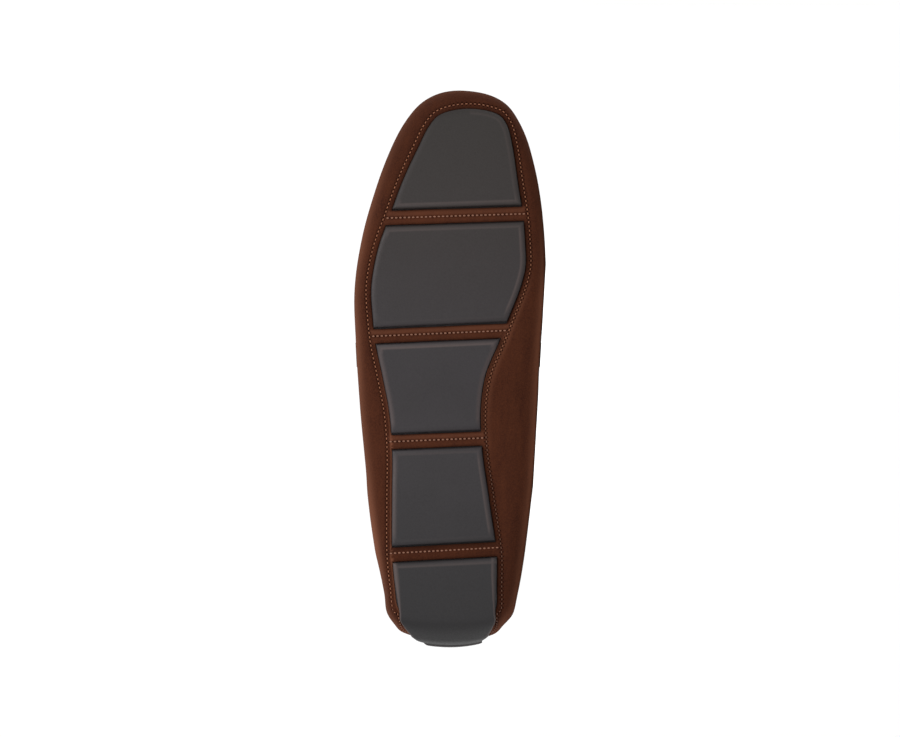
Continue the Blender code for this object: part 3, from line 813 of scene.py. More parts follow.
lining_leather = leather_material("lining_leather", "#7d5738", "#946b48", 1.4)
COARSE_ROWS = FINE_ROWS[::2] if len(FINE_ROWS) % 2 else FINE_ROWS[::2] + FINE_ROWS[-1:]
LINING_START, LINING_GAP = 1.25, 0.05
LINING_LEVELS = [LINING_START + (3 - LINING_START) * step / 26 for step in range(27)]
bm = bmesh.new()
for side in SIDES:
    draped(
        bm,
        len(COARSE_ROWS) - 1,
        len(LINING_LEVELS) - 1,
        lambda i, j, side=side: wall_point(side, COARSE_ROWS[i][side], LINING_LEVELS[j]),
    )
apron(bm, rows_past(COARSE_ROWS, THROAT), CROWN_SPOTS[::2])
welded(bm)
faced_out(bm)
for vert in bm.verts:
    vert.co -= vert.normal * (SUEDE_LAYER + LINING_GAP)
lining = finished("lining", bm, lining_leather, sharp=60)
skin = lining.modifiers.new("lining_thickness", "SOLIDIFY")
skin.thickness, skin.offset = (SUEDE - SUEDE_LAYER - LINING_GAP) / 1000, -1.0

# %% [markdown]
# ## Topline
# At the collar and the tongue the suede is folded over the lining's edge. A tube a little thicker than
# the wall, run round the mouth along the topline and across the tongue, gives that soft rounded fold.

# %% Folded edge of the mouth
THROAT_ROW = VAMP_ROWS[0]


def mouth_loop():
    """Closed line round the mouth along the rim, and across the tongue."""
    rims = {}
    for side in SIDES:
        turns = [THROAT_ROW[side] * math.sin(math.pi / 2 * step / 90) for step in range(91)]
        rims[side] = [rim_point(side, turn) for turn in turns]
    tongue = [crown_point(THROAT_ROW, spot / 24) for spot in range(-23, 24)]
    return rims[LATERAL] + tongue + list(reversed(rims[MEDIAL]))


def relaxed(path, rounds):
    """Evens out corners of a closed path."""
    for _ in range(rounds):
        inner = [(a + 2 * b + c) / 4 for a, b, c in zip(path, path[1:], path[2:])]
        joint = (path[-2] + 2 * path[0] + path[1]) / 4
        path = [joint] + inner + [joint]
    return path


FOLD_RADIUS, FOLD_LOW, MOUTH_MIDDLE = 1.3, Vector((0, 0, 0.35)), Vector((78, 0))
folded = []
for point in relaxed([point - FOLD_LOW for point in mouth_loop()], 3):
    inward = (MOUTH_MIDDLE - point.xy).normalized().to_3d()
    folded.append(point + inward * SUEDE / 2)
bm = bmesh.new()
tube(bm, folded, [FOLD_RADIUS] * len(folded), around=12)
welded(bm)
finished("topline_fold", bm, suede)

# %% [markdown]
# ## Rubber
# The sole is one piece of moulded rubber, dark grey with a brown cast. Rubber from a blasted mould has a
# fine even grain and a soft sheen. It is browner in the forepart, darker towards the heel and the toe,
# and each pad's bevel, about 2 mm wide, carries a painted highlight. Under the suede lies a thin base.
# Five pads stand out of it through the windows.


# %% Rubber material
def rubber_material(name, deep, light, front, toe, heel, painted_light):
    """Moulded rubber with a blasted grain, toned along the foot, with painted highlight at the pads' edges.
    """
    made, tree, shader = new_material(name, {"Specular IOR Level": 0.3})
    place = add(tree, "TexCoord", "Object", {})
    length = add(tree, "SeparateXYZ", "X", {"Vector": place})
    tone = add(tree, "TexNoise", "Fac", {"Vector": place, "Scale": per_mm(20), "Detail": 3.0})
    layers = [(tone, light)]
    # Where along the shoe a tone starts and is full, in metres, its share and its colour
    for start, end, most, code in (
        (0.0, 0.07, 0.7, front),
        (0.055, 0.13, 0.8, toe),
        (-0.03, -0.135, 0.95, heel),
    ):
        limits = {"From Min": start, "From Max": end, "To Max": most}
        layers.append((add(tree, "MapRange", "Result", {"Value": length, **limits}), code))
    # The attribute read here is painted highlight on the pads' bevels
    layers.append((add(tree, "Attribute", "Fac", {}, attribute_name="rim"), painted_light))
    base = deep
    for share, code in layers:
        values = {MIX_FACTOR: share, MIX_A: base, MIX_B: code}
        base = add(tree, "Mix", MIX_OUT, values, data_type="RGBA")
    grain = add(tree, "TexNoise", "Fac", {"Vector": place, "Scale": per_mm(0.8), "Detail": 2.0})
    limits = {"From Min": 0.3, "From Max": 0.7, "To Min": 0.48, "To Max": 0.62}
    rough = add(tree, "MapRange", "Result", {"Value": grain, **limits})
    bump = add(tree, "Bump", "Normal", {"Height": grain, "Strength": 0.2, "Distance": 0.0002})
    fill(tree, shader, {"Base Color": base, "Roughness": rough, "Normal": bump})
    return made


# The last tone is the painted highlight of the bevels
RUBBER_TONES = ("#1b1719", "#211d20", "#1c1513", "#17120f", "#0f0d0f", "#463a38")
rubber = rubber_material("moulded_rubber", *RUBBER_TONES)
print("rubber ready, in", len(RUBBER_TONES), "tones")

# %% [markdown]
# A pad could be a box with a bevel modifier, but its outline is curved and its tread bends with the toe.
# So a disc is pulled to the outline, drawn out, inset in steps that give the bevel, sliced across by
# planes, and only then bent to the tread.

# %% Outline of a slab
# An inset of 3.3 mm would fold over a point that is nearer to a corner than this, in millimetres
CORNER_ROOM = 5.4


def outline_of(point_at, keys, first, last, steps, clear):
    """Closed outline between two rows of the foot, moved inwards by clear."""
    rows = rows_between(keys, first, last, steps)
    lines = []
    for side in SIDES:
        line = []
        for row in rows:
            turn = row[side]
            ahead, behind = point_at(side, min(turn + 0.004, 1)), point_at(side, max(turn - 0.004, 0))
            along = (ahead - behind).normalized()
            if turn in (0, 1):
                along = Vector((0, side if turn == 0 else -side))
            line.append(point_at(side, turn) + clear * side * Vector((along.y, -along.x)))
        lines.append(line)
    loop = lines[0] + list(reversed(lines[1]))
    corners = [line[end] for line in lines for end in (0, -1) if (lines[0][end] - lines[1][end]).length > 1]
    outline = []
    for point in loop:
        near = min((point - corner).length for corner in corners) if corners else CORNER_ROOM
        if near == 0 or near >= CORNER_ROOM and (not outline or (point - outline[-1]).length > 0.02):
            outline.append(point)
    if (outline[0] - outline[-1]).length < 0.02:
        outline.pop()
    return outline


# %% Slab with a stepped edge
def slab(bm, outline, start, side_end, section=(), light=None):
    """Disc pulled to an outline and drawn from start to side_end, then inset along a section of steps."""
    disc = bmesh.ops.create_circle(bm, cap_ends=True, segments=len(outline), radius=1.0)["verts"]
    for vert, point in zip(disc, outline):
        vert.co = Vector((point.x, point.y, start))
    top = disc[0].link_faces[0]
    drawn = bmesh.ops.extrude_face_region(bm, geom=[top])["geom"]
    top = [item for item in drawn if isinstance(item, bmesh.types.BMFace)][0]
    for vert in top.verts:
        vert.co.z = side_end
    way = 1 if side_end > start else -1
    for step, (inset, rise) in enumerate(section):
        bm.normal_update()
        bmesh.ops.inset_region(bm, faces=[top], thickness=inset, use_even_offset=True)
        for vert in top.verts:
            vert.co.z += way * rise
            if light:
                light(vert, step)


# %% Edges of the pads
# Edge of a pad from its side to its tread: inset and rise in millimetres
PAD_SECTION = ((0.25, 0.42), (0.45, 0.36), (0.7, 0.3), (0.65, 0.13), (0.45, 0.04), (0.4, 0.0), (0.4, 0.0))
# How much painted highlight each of these steps gets: a crease where bevel and tread meet, or a band at the
# foot of the bevel
CREASE = (0.0, 0.1, 0.4, 0.8, 1.0, 0.4, 0.0)
BAND = (0.7, 1.0, 0.9, 0.45, 0.2, 0.05, 0.0)
# Pads with a band on these sides
BANDED = {"lateral": (0, 1, 2, 3, 4), "medial": (2,)}
# How much painted highlight each edge of the pads gets, from the heel to the toe
PAD_EDGES = table(
    "rear front lateral medial",
    (0.0, 0.35, 0.68, 0.5),
    (0.05, 0.2, 0.42, 0.45),
    (0.0, 0.65, 0.45, 0.4),
    (0.05, 0.3, 0.06, 0.5),
    (0.35, 0.0, 0.0, 0.17),
)
PAD_SIDE = PAD_PROUD - sum(rise for inset, rise in PAD_SECTION)
PAD_STEPS = (30, 24, 24, 24, 60)
SLICE = 3.0
print("side of a pad up to its bevel:", round(PAD_SIDE, 2), "mm")


# %% Bending and lighting the pads
def bent_to_tread(bm):
    """Slices flat slabs across and bends them to the underside of the shoe."""
    for step in range(1, int(LENGTH / SLICE)):
        everything = bm.verts[:] + bm.edges[:] + bm.faces[:]
        bmesh.ops.bisect_plane(bm, geom=everything, plane_co=(step * SLICE, 0, 0), plane_no=(1, 0, 0))
    for vert in bm.verts:
        vert.co.z += bottom(vert.co.x)


def edge_light(pad, keys, layer):
    """Function that paints highlight on a point of a pad's edge, with a band or a crease."""
    ends = {"rear": keys[2 * pad], "front": keys[2 * pad + 1]}
    lines = {name: [plan(EDGE, side, key[side]) for side in SIDES] for name, key in ends.items()}

    def light(vert, step):
        point, turn = vert.co.xy, turn_of(EDGE, vert.co.x)
        apart = {"lateral": point.y - plan(EDGE, LATERAL, turn).y}
        apart["medial"] = plan(EDGE, MEDIAL, turn).y - point.y
        for name, (a, b) in lines.items():
            if (b - a).length > 1:
                apart[name] = abs((b - a).normalized().cross(point - a)) - 0.5
        nearest = min(apart, key=apart.get)
        vert[layer] = PAD_EDGES[nearest][pad] * (BAND if pad in BANDED.get(nearest, ()) else CREASE)[step]

    return light


def window_line(side, turn):
    """Edge of the windows seen from above."""
    return plan(EDGE, side, turn)


def feather_line(side, turn):
    """Where the flat bottom ends, seen from above."""
    return wall_point(side, turn, 1).xy


# %% Base and pads
# A pad's rear edge stands further from its bar than the front edge of the pad behind
REAR_CLEAR, BASE_INSET = PAD_CLEAR + 0.35, 1.2
PAD_KEYS = row_keys(PAD_CLEAR, REAR_CLEAR)
pads = bmesh.new()
bevel_light_layer = pads.verts.layers.float.new("rim")
base_outline = outline_of(feather_line, KEYS, 0, LAST_KEY, PAD_STEPS, BASE_INSET)
slab(pads, base_outline, SUEDE + GAP, SUEDE + GAP + BASE)
inner = SUEDE + GAP + BASE / 2
for pad in range(len(PAD_STEPS)):
    pad_outline = outline_of(window_line, PAD_KEYS, 2 * pad, 2 * pad + 1, PAD_STEPS, PAD_CLEAR)
    if pad == 0:
        slab(pads, pad_outline, inner, -PAD_PROUD / 2)
    else:
        slab(pads, pad_outline, inner, -PAD_SIDE, PAD_SECTION, edge_light(pad, PAD_KEYS, bevel_light_layer))
bent_to_tread(pads)
print("pads:", len(pads.faces), "faces")

# %% [markdown]
# ## Heel
# The heel pad does not end at the back: its skin rolls up over the suede and ends in a narrow ribbed tab,
# which keeps the heel from scuffing on a car's floor. The skin is a grid over the same surface as the
# suede, lifted by the pad's height, with the bevel of the other pads at its border and three ribs across
# the tab.

# %% Sizes of the heel skin
# Edge of the skin seen from below, in millimetres from the heel and from the middle
HEEL_EDGE = table(
    "x lateral medial",
    (-1.0, -13.2, 12.5),
    (1.4, -18.0, 17.2),
    (4.0, -21.6, 20.6),
    (8.5, -24.2, 22.1),
    (14.5, -25.9, 22.9),
    (24.0, -27.6, 23.4),
)
HEEL_FRONT, HEEL_UNDER, SKIN_SEEN, SKIN_STEPS = 19.0, 22.5, 1.9, 24
# Levels of the wall where the tab starts and where its corners are rounded off
TAB_START, TAB_TOP, TAB_ROUND = (1.68, 1.82), (2.22, 2.34), 0.4
TAB_REACH = {LATERAL: 0.0375, MEDIAL: 0.0535}
HEEL_RIBS = ((1.78, 1.87), (2.0, 2.07), (2.16, 2.22))
# The ribs' tops carry a painted highlight
RIB_SOFT, RIB_LIGHT = 0.015, 0.25
# The skin is drawn with wide steps to the first of these levels and with fine steps to the second
SKIN_LEVELS = (1.6, 2.24)
print("heel skin:", len(HEEL_EDGE["x"]), "places on its edge,", len(HEEL_RIBS), "ribs")

# %% Skin over a grid of points
# Height of a line through the inside of the shoe, from heel to toe
AXIS_HEIGHT = 30.0


def looks_out(direction, point):
    """Whether a direction points out of the shoe."""
    return direction.dot(point - Vector((point.x, 0, AXIS_HEIGHT))) > 0


def shell(bm, points, lifts, under, rim=None, shine=None):
    """Closed skin over a grid of points: lifts gives the outside's height, under the inside's."""
    rows, columns = len(points) - 1, len(points[0]) - 1

    def out(i, j):
        def apart(a, b, step):
            while (a(step) - b(step)).length < 1e-4:
                step += 1
            return a(step) - b(step)

        down = apart(lambda k: points[min(i + k, rows)][j], lambda k: points[max(i - k, 0)][j], 1)
        right = apart(lambda k: points[i][min(j + k, columns)], lambda k: points[i][max(j - k, 0)], 1)
        return down.cross(right).normalized()

    outs = [[out(i, j) for j in range(columns + 1)] for i in range(rows + 1)]
    middle = points[rows // 2][columns // 2]
    if not looks_out(outs[rows // 2][columns // 2], middle):
        outs = [[-normal for normal in line] for line in outs]
    top = draped(bm, rows, columns, lambda i, j: points[i][j] + outs[i][j] * lifts[i][j])
    if rim is not None:
        for index, vert in enumerate(top):
            vert[rim] = shine[index % (rows + 1)][index // (rows + 1)]
    draped(bm, rows, columns, lambda i, j: points[i][j] + outs[i][j] * under)


# %% Reach of the heel skin
def outward(side, turn, level):
    """Direction that the wall faces."""
    along = wall_point(side, min(turn + 0.003, 1), level) - wall_point(side, max(turn - 0.003, 0), level)
    up = wall_point(side, turn, min(level + 0.02, 3)) - wall_point(side, turn, max(level - 0.02, 0))
    here = wall_point(side, turn, level)
    out = along.cross(up).normalized()
    return out if looks_out(out, here) else -out


def heel_reach(side, level):
    """Turn that the skin reaches on one side: its edge line below, then the tab with rounded corners."""
    low, high = 0.02, 0.14
    for _ in range(14):
        turn = (low + high) / 2
        seen = wall_point(side, turn, level) + SKIN_SEEN * outward(side, turn, level)
        inside = abs(seen.y) < abs(spline(HEEL_EDGE["x"], HEEL_EDGE[SIDE_NAMES[side]], seen.x))
        low, high = (turn, high) if inside else (low, turn)
    tab = TAB_REACH[side] * (1 - TAB_ROUND * ramp(level, *TAB_TOP) ** 2)
    return turn + ramp(level, *TAB_START) * (tab - turn)


def heel_line(way):
    """Function of a share across the heel skin: way 0 to 1 under the foot, then 1 plus the wall's level."""
    if way > 1:
        left, right = -heel_reach(LATERAL, way - 1), heel_reach(MEDIAL, way - 1)

        def on_wall(share):
            turn = left + share * (right - left)
            return wall_point(MEDIAL if turn > 0 else LATERAL, abs(turn), way - 1)

        return on_wall
    ends = []
    for side in SIDES:
        start = plan(EDGE, side, PAD_KEYS[1][side]).x
        x = start + way * (HEEL_FRONT - start)
        ends.append(Vector((x, plan(EDGE, side, turn_of(EDGE, x)).y - side * PAD_CLEAR, bottom(x))))
    return lambda share: ends[0].lerp(ends[1], share)


# %% Border of the heel skin
# Border of the skin, like the other pads' edge: distance from the edge in millimetres and height
HEEL_BORDER = [(0.0, GAP), (0.0, PAD_SIDE)]
for inset, rise in PAD_SECTION:
    HEEL_BORDER.append((HEEL_BORDER[-1][0] + inset, HEEL_BORDER[-1][1] + rise))
# Upper end of the tab: level, height and how much painted highlight it has
TAB_END = (
    (2.26, PAD_PROUD, 0.0),
    (2.29, 2.7, 0.3),
    (2.315, 2.4, 0.6),
    (2.332, 2.0, 0.8),
    (2.34, PAD_SIDE, 0.5),
    (2.34, GAP, 0.4),
)
print("heel border steps:", len(HEEL_BORDER))


# %% Lines of the heel skin
def bordered(length, crisp):
    """Lines across the skin: share of its width, height, painted highlight. A crisp border keeps its
    height.
    """
    left, right = PAD_EDGES["lateral"][0], PAD_EDGES["medial"][0]
    ends = [(distance / length, height + crisp * (PAD_PROUD - height)) for distance, height in HEEL_BORDER]
    ends[0] = (0.0, GAP)
    start, stop = ends[-1][0], 1 - ends[-1][0]
    band, crease = (BAND[0], BAND[0]) + BAND, (0.0, 0.0) + CREASE
    lines = [(share, height, left * shine) for (share, height), shine in zip(ends, band)]
    plain = [start + (stop - start) * step / SKIN_STEPS for step in range(1, SKIN_STEPS)]
    lines += [(share, PAD_PROUD, 0.0) for share in plain]
    lines += reversed([(1 - share, height, right * shine) for (share, height), shine in zip(ends, crease)])
    return lines


def rib_height(level):
    """1 on a rib of the tab, 0 between ribs."""
    heights = []
    for rib in HEEL_RIBS:
        rise, fall = (ramp(level, edge - RIB_SOFT, edge + RIB_SOFT) for edge in rib)
        heights.append(rise * (1 - fall))
    return max(heights)


def heel_ways():
    """Lines from the front of the heel pad to the top of the tab: way, height, painted highlight."""
    front = PAD_EDGES["front"][0]
    crease = (0.0, 0.0) + CREASE
    lines = [(step[0] / HEEL_UNDER, step[1], shine * front) for step, shine in zip(HEEL_BORDER, crease)]
    start = lines[-1][0]
    lines += [(start + (1 - start) * step / 8, PAD_PROUD, 0.0) for step in range(1, 9)]
    low, high = SKIN_LEVELS
    levels = [low * step / 32 for step in range(1, 33)]
    levels += [low + (high - low) * step / 60 for step in range(1, 61)]
    for level in levels:
        rib = rib_height(level)
        lines.append((1 + level, PAD_PROUD + RIB * rib, RIB_LIGHT * rib))
    return lines + [(1 + level, height, shine) for level, height, shine in TAB_END]


# %% Heel skin as a shell
# Ways between which the border turns crisp, its painted highlight fades, and the skin is evened out
CRISP_WAYS, FADE_WAYS, EVEN_WAYS = (2.55, 2.75), (2.5, 2.7), (0.4, 2.55)
CRISP, EVEN_ROUNDS = 0.75, 60
points, lifts, shines = [], [], []
ways = heel_ways()
for way, height, shine in ways:
    line = heel_line(way)
    width = (line(1) - line(0)).length
    across = bordered(width, CRISP * ramp(way, *CRISP_WAYS))
    points.append([line(share) for share, _, _ in across])
    rib = max(height - PAD_PROUD, 0.0)
    lifts.append([min(height, edge) + (rib if edge > GAP else 0.0) for _, edge, _ in across])
    fade = 1 - ramp(way, *FADE_WAYS)
    shines.append([max(shine, fade * side_shine) for _, _, side_shine in across])
# The skin's parts meet in a corner at each side, which rounds of averaging along the foot take out
evened = [i for i, (way, _, _) in enumerate(ways) if EVEN_WAYS[0] < way < EVEN_WAYS[1]]
for _ in range(EVEN_ROUNDS):
    for i in evened:
        points[i] = [(a + 2 * b + c) / 4 for a, b, c in zip(points[i - 1], points[i], points[i + 1])]
shell(pads, points, lifts, GAP, bevel_light_layer, shines)
welded(pads)
finished("rubber_pads", pads, rubber, "rubber_sole")

# %% [markdown]
# ## Footbed
# The footbed is a leather-covered insole that lies on the rubber base. It is made like the pads: a disc
# pulled to its outline, drawn up, with a softened top edge, and bent to the shoe.

# %% Footbed
INSOLE_SECTION = ((0.3, 0.35), (0.4, 0.2), (0.6, 0.1), (0.8, 0.0))
INSOLE_SIDE = INSOLE - sum(rise for inset, rise in INSOLE_SECTION)
BED_LEVEL, BED_INSET = 1.42, 3.7


def footbed_line(side, turn):
    """Line of the wall that the footbed's outline follows."""
    return wall_point(side, turn, BED_LEVEL).xy


bm = bmesh.new()
bed = SUEDE + BASE + 2 * GAP
bed_outline = outline_of(footbed_line, KEYS, 0, LAST_KEY, PAD_STEPS, BED_INSET)
slab(bm, bed_outline, bed, bed + INSOLE_SIDE, INSOLE_SECTION)
bent_to_tread(bm)
welded(bm)
footbed_leather = leather_material("footbed_leather", "#8a623f", "#9d744f", 1.1)
finished("footbed", bm, footbed_leather, "insole")

# %% [markdown]
# ## Saddle strap
# A strap of the same suede crosses the vamp, with a slot cut in its middle. It is a skin over the upper's
# own surface. The slot is cut with a Boolean, because the cut goes straight through and leaves crisp
# edges.

# %% Edges of the strap on the upper
STRAP_EDGES = table(
    "level rear front",
    (2.42, 141.5, 152.5),
    (2.6, 140.6, 155.0),
    (2.8, 139.8, 158.5),
    (3.0, 139.3, 161.5),
    (3.25, 139.0, 163.8),
    (3.5, 139.0, 165.2),
    (3.75, 139.0, 166.0),
    (4.0, 139.0, 166.3),
)
STRAP_UNDER = 0.5
STRAP_END = STRAP_EDGES["level"][0]


def row_at(share):
    """Row at a share of the whole way from heel to toe."""
    for before, after in zip(KEYS, KEYS[1:]):
        start, end = (before[LATERAL] + before[MEDIAL]) / 2, (after[LATERAL] + after[MEDIAL]) / 2
        if share <= end:
            s = (share - start) / (end - start)
            return {side: before[side] + s * (after[side] - before[side]) for side in SIDES}
    return KEYS[-1]


def surface_point(side, share, level):
    """Outside of the upper, with levels 3 to 4 from the rim to the middle of the crown."""
    row = row_at(share)
    if level <= 3:
        return wall_point(side, row[side], level)
    return crown_point(row, side * (4 - level))


def share_at(side, level, x):
    """Share at which the surface reaches station x at this level."""
    low, high = 0.02, 0.98
    for _ in range(24):
        middle = (low + high) / 2
        if surface_point(side, middle, level).x < x:
            low = middle
        else:
            high = middle
    return (low + high) / 2


# %% Strap over the vamp
def strap_line(way):
    """Side, level and end shares of the strap: way -1 lateral end, 0 crown, 1 medial end."""
    side = MEDIAL if way > 0 else LATERAL
    level = 4 - abs(way) * (4 - STRAP_END)
    edges = [spline(STRAP_EDGES["level"], STRAP_EDGES[name], level) for name in ("rear", "front")]
    return side, level, [share_at(side, level, x) for x in edges]


def strap_point(line, share):
    """Point of the upper under the strap, at a share of the strap's width."""
    side, level, ends = line
    return surface_point(side, ends[0] + share * (ends[1] - ends[0]), level)


# Edge of the strap: share of its width and height
STRAP_BORDER = ((0, STRAP_UNDER), (0, 1.5), (0.012, 1.85), (0.035, 2.1), (0.07, 2.2))
BORDER = STRAP_BORDER[-1][0]
STRAP_TOP, WAY_STEPS = STRAP_UNDER + STRAP, 64
across = list(STRAP_BORDER) + [(BORDER + (1 - 2 * BORDER) * step / 14, STRAP_TOP) for step in range(1, 14)]
across += [(1 - share, height) for share, height in reversed(STRAP_BORDER)]
ways = [(-1 + 2 * step / WAY_STEPS, STRAP_TOP) for step in range(WAY_STEPS + 1)]
ways = [(-1, STRAP_UNDER), *ways, (1, STRAP_UNDER)]
STRAP_LINES = [strap_line(way) for way, _ in ways]
points = [[strap_point(line, share) for share, _ in across] for line in STRAP_LINES]
lifts = [[min(height, side_height) for _, side_height in across] for _, height in ways]
bm = bmesh.new()
shell(bm, points, lifts, STRAP_UNDER)
welded(bm)
strap = finished("saddle_strap_suede", bm, suede, "saddle_strap")

# %% Slot of the strap
bm = bmesh.new()
bmesh.ops.create_cone(bm, cap_ends=True, segments=48, radius1=0.5, radius2=0.5, depth=60)
bmesh.ops.scale(bm, vec=(SLOT_LENGTH, SLOT_WIDTH, 1), verts=bm.verts[:])
bmesh.ops.translate(bm, vec=(SLOT_MIDDLE, SLOT_ASIDE, INSTEP_HEIGHT), verts=bm.verts[:])
bmesh.ops.transform(bm, matrix=SHOE_POSE, verts=bm.verts[:])
cutter = placed("slot_cutter", bm)
cut = strap.modifiers.new("slot", "BOOLEAN")
cut.operation, cut.solver, cut.object = "DIFFERENCE", "EXACT", cutter
bpy.context.view_layer.update()
slotted = bpy.data.meshes.new_from_object(strap.evaluated_get(bpy.context.evaluated_depsgraph_get()))
strap.modifiers.clear()
strap.data = slotted
bpy.data.objects.remove(cutter)
print("strap with slot:", len(slotted.polygons), "faces")

# %% [markdown]
# ## Rolled strap ends
# At each side the strap ends in a small roll of suede, sewn down. The medial roll shows in outline from
# below; its suede is darker, painted shade, as it lies in shade on the floor side. A roll could be a bent
# cylinder, but a skin over the wall's own surface, swollen like half a barrel, sits on it without a gap.

# %% Rolls at both sides
ROLL_REAR, ROLL_FRONT, ROLL_LOW, ROLL_HIGH = 140.8, 153.2, 2.2, 2.4
ROLL_PROUD = {LATERAL: 0.9, MEDIAL: 2.5}
# Height of a roll's border in millimetres, share of its height at the tips, and how fast it swells inwards
ROLL_FOOT, ROLL_TIP, ROLL_SWELL = 0.7, 0.45, 2.2
# The medial roll's suede is a darker copy of the upper's: painted shade
shaded_roll_suede = suede_material("suede_in_painted_shade", "#170b08", "#1d0f0a", "#2c170f", "#3a2119")


def roll_piece(side, name, look):
    """One rolled strap end, pressed flat where the shoe lies on it."""
    levels = [0.0] + [step / 16 for step in range(17)] + [1.0]
    shares = [0.0] + [step / 22 for step in range(23)] + [1.0]
    points, lifts = [], []
    for i, s in enumerate(levels):
        level = ROLL_LOW + s * (ROLL_HIGH - ROLL_LOW)
        rear, front = (share_at(side, level, x) for x in (ROLL_REAR, ROLL_FRONT))
        points.append([surface_point(side, rear + t * (front - rear), level) for t in shares])
        across = math.sqrt(max(1 - (2 * s - 1) ** 2, 0))
        along = [min(1.0, ROLL_TIP + ROLL_SWELL * math.sqrt(min(t, 1 - t))) for t in shares]
        lifts.append([GAP + ROLL_FOOT + (ROLL_PROUD[side] - ROLL_FOOT) * across * a for a in along])
        if i in (0, len(levels) - 1):
            lifts[-1] = [GAP] * len(shares)
        lifts[-1][0] = lifts[-1][-1] = GAP
    bm = bmesh.new()
    shell(bm, points, lifts, GAP)
    welded(bm)
    for vert in bm.verts:
        vert.co = pressed(vert.co)
    finished(name + "_suede", bm, look, name)


roll_piece(LATERAL, "side_roll_lateral", suede)
roll_piece(MEDIAL, "side_roll_medial", shaded_roll_suede)

# %% [markdown]
# ## Stitching
# A lockstitch row runs round the pads and along the middle of each bar, in copper-brown waxed thread.
# Each stitch is a small stretched sphere sunk into its groove, with a dark needle hole between it and the
# next. A stitch is about 1.2 mm long at a pitch of 2.2 mm, and there are hundreds, so each has few faces.


# %% Thread material
def thread_material(name, deep, light, thread_shade):
    """Waxed polyester thread: a slight sheen, with the ply showing as fine changes of tone."""
    made, tree, shader = new_material(name, {"Roughness": 0.6})
    place = add(tree, "TexCoord", "Object", {})
    ply = add(tree, "TexNoise", "Fac", {"Vector": place, "Scale": per_mm(1.2), "Detail": 2.0})
    # An attribute mixes painted shade into the thread
    thread_shade_share = add(tree, "Attribute", "Fac", {}, attribute_name="thread_shade")
    base = deep
    for share, code in ((ply, light), (thread_shade_share, thread_shade)):
        values = {MIX_FACTOR: share, MIX_A: base, MIX_B: code}
        base = add(tree, "Mix", MIX_OUT, values, data_type="RGBA")
    fill(tree, shader, {"Base Color": base})
    return made


thread = thread_material("tan_thread", "#5a3524", "#784f38", "#4a2a1b")
ring_thread = thread_material("ring_thread", "#66391f", "#935c3b", "#3a2013")
print("two threads ready")

# %% Sizes of stitches and holes
# A needle hole swallows light, so it is near black and has no gloss: painted shade in the hole
HOLE_VALUES = {"Base Color": "#140805", "Roughness": 1.0, "Specular IOR Level": 0.0}
hole_shade = new_material("needle_hole", HOLE_VALUES)[0]
PITCH, STITCH_LONG, STITCH_WIDE, STITCH_FLAT = 2.2, 1.2, 0.48, 0.75
HOLE_LONG, HOLE_WIDE, HOLE_HIGH, HOLE_SINK = 0.9, 0.8, 0.34, 0.12
# Dark beads beside the stitches are painted shade on the groove's flanks, larger on the medial side: how
# far off, height, and size as a share of the others' by side
SIDE_SHADE_OFF, SIDE_SHADE_HIGH, SIDE_SHADE_SIZE = 0.8, 0.3, {LATERAL: 0.5, MEDIAL: 0.75}
# The bars' stitches are larger, with shorter holes, and the fine rows of collar and strap have none
BAR_STITCH, BAR_HOLE = {"long": 1.35, "wide": 0.95}, 0.6
FINE_STITCH = {"pitch": 2.6, "long": 1.9, "wide": 0.6}
# A stitch along its length: place and swelling
BULGE, BEAD_AROUND = ((-0.5, 0.0), (-0.38, 0.7), (0.0, 1.0), (0.38, 0.7), (0.5, 0.0)), 8
print("stitches:", STITCH_LONG, "mm long every", PITCH, "mm")


# %% Stitches along a path
def beads(bm, steps, long, wide, high):
    """Row of stretched beads from one grid: each takes a few lines of it, closed at both ends."""
    lines = len(BULGE)

    def place(i, j):
        at, along, out = steps[i // lines]
        shift, swell = BULGE[i % lines]
        angle = 2 * math.pi * j / BEAD_AROUND
        side = out.cross(along).normalized()
        ring = side * wide * math.cos(angle) + out * high * math.sin(angle)
        return at + along * long * shift + ring * swell / 2

    draped(bm, lines * len(steps) - 1, BEAD_AROUND, place)


def walked(path, pitch):
    """Equal steps along a path of (point, outward) pairs: point, direction, outward."""
    lengths = [0.0]
    for (before, _), (after, _) in zip(path, path[1:]):
        lengths.append(lengths[-1] + (after - before).length)
    count = max(round(lengths[-1] / pitch), 1)
    steps, piece = [], 0
    for index in range(count):
        at = lengths[-1] * (index + 0.5) / count
        while piece < len(path) - 2 and lengths[piece + 1] < at:
            piece += 1
        share = (at - lengths[piece]) / max(lengths[piece + 1] - lengths[piece], 1e-9)
        (a, out_a), (b, out_b) = path[piece], path[piece + 1]
        steps.append((a.lerp(b, share), (b - a).normalized(), out_a.lerp(out_b, share).normalized()))
    return steps


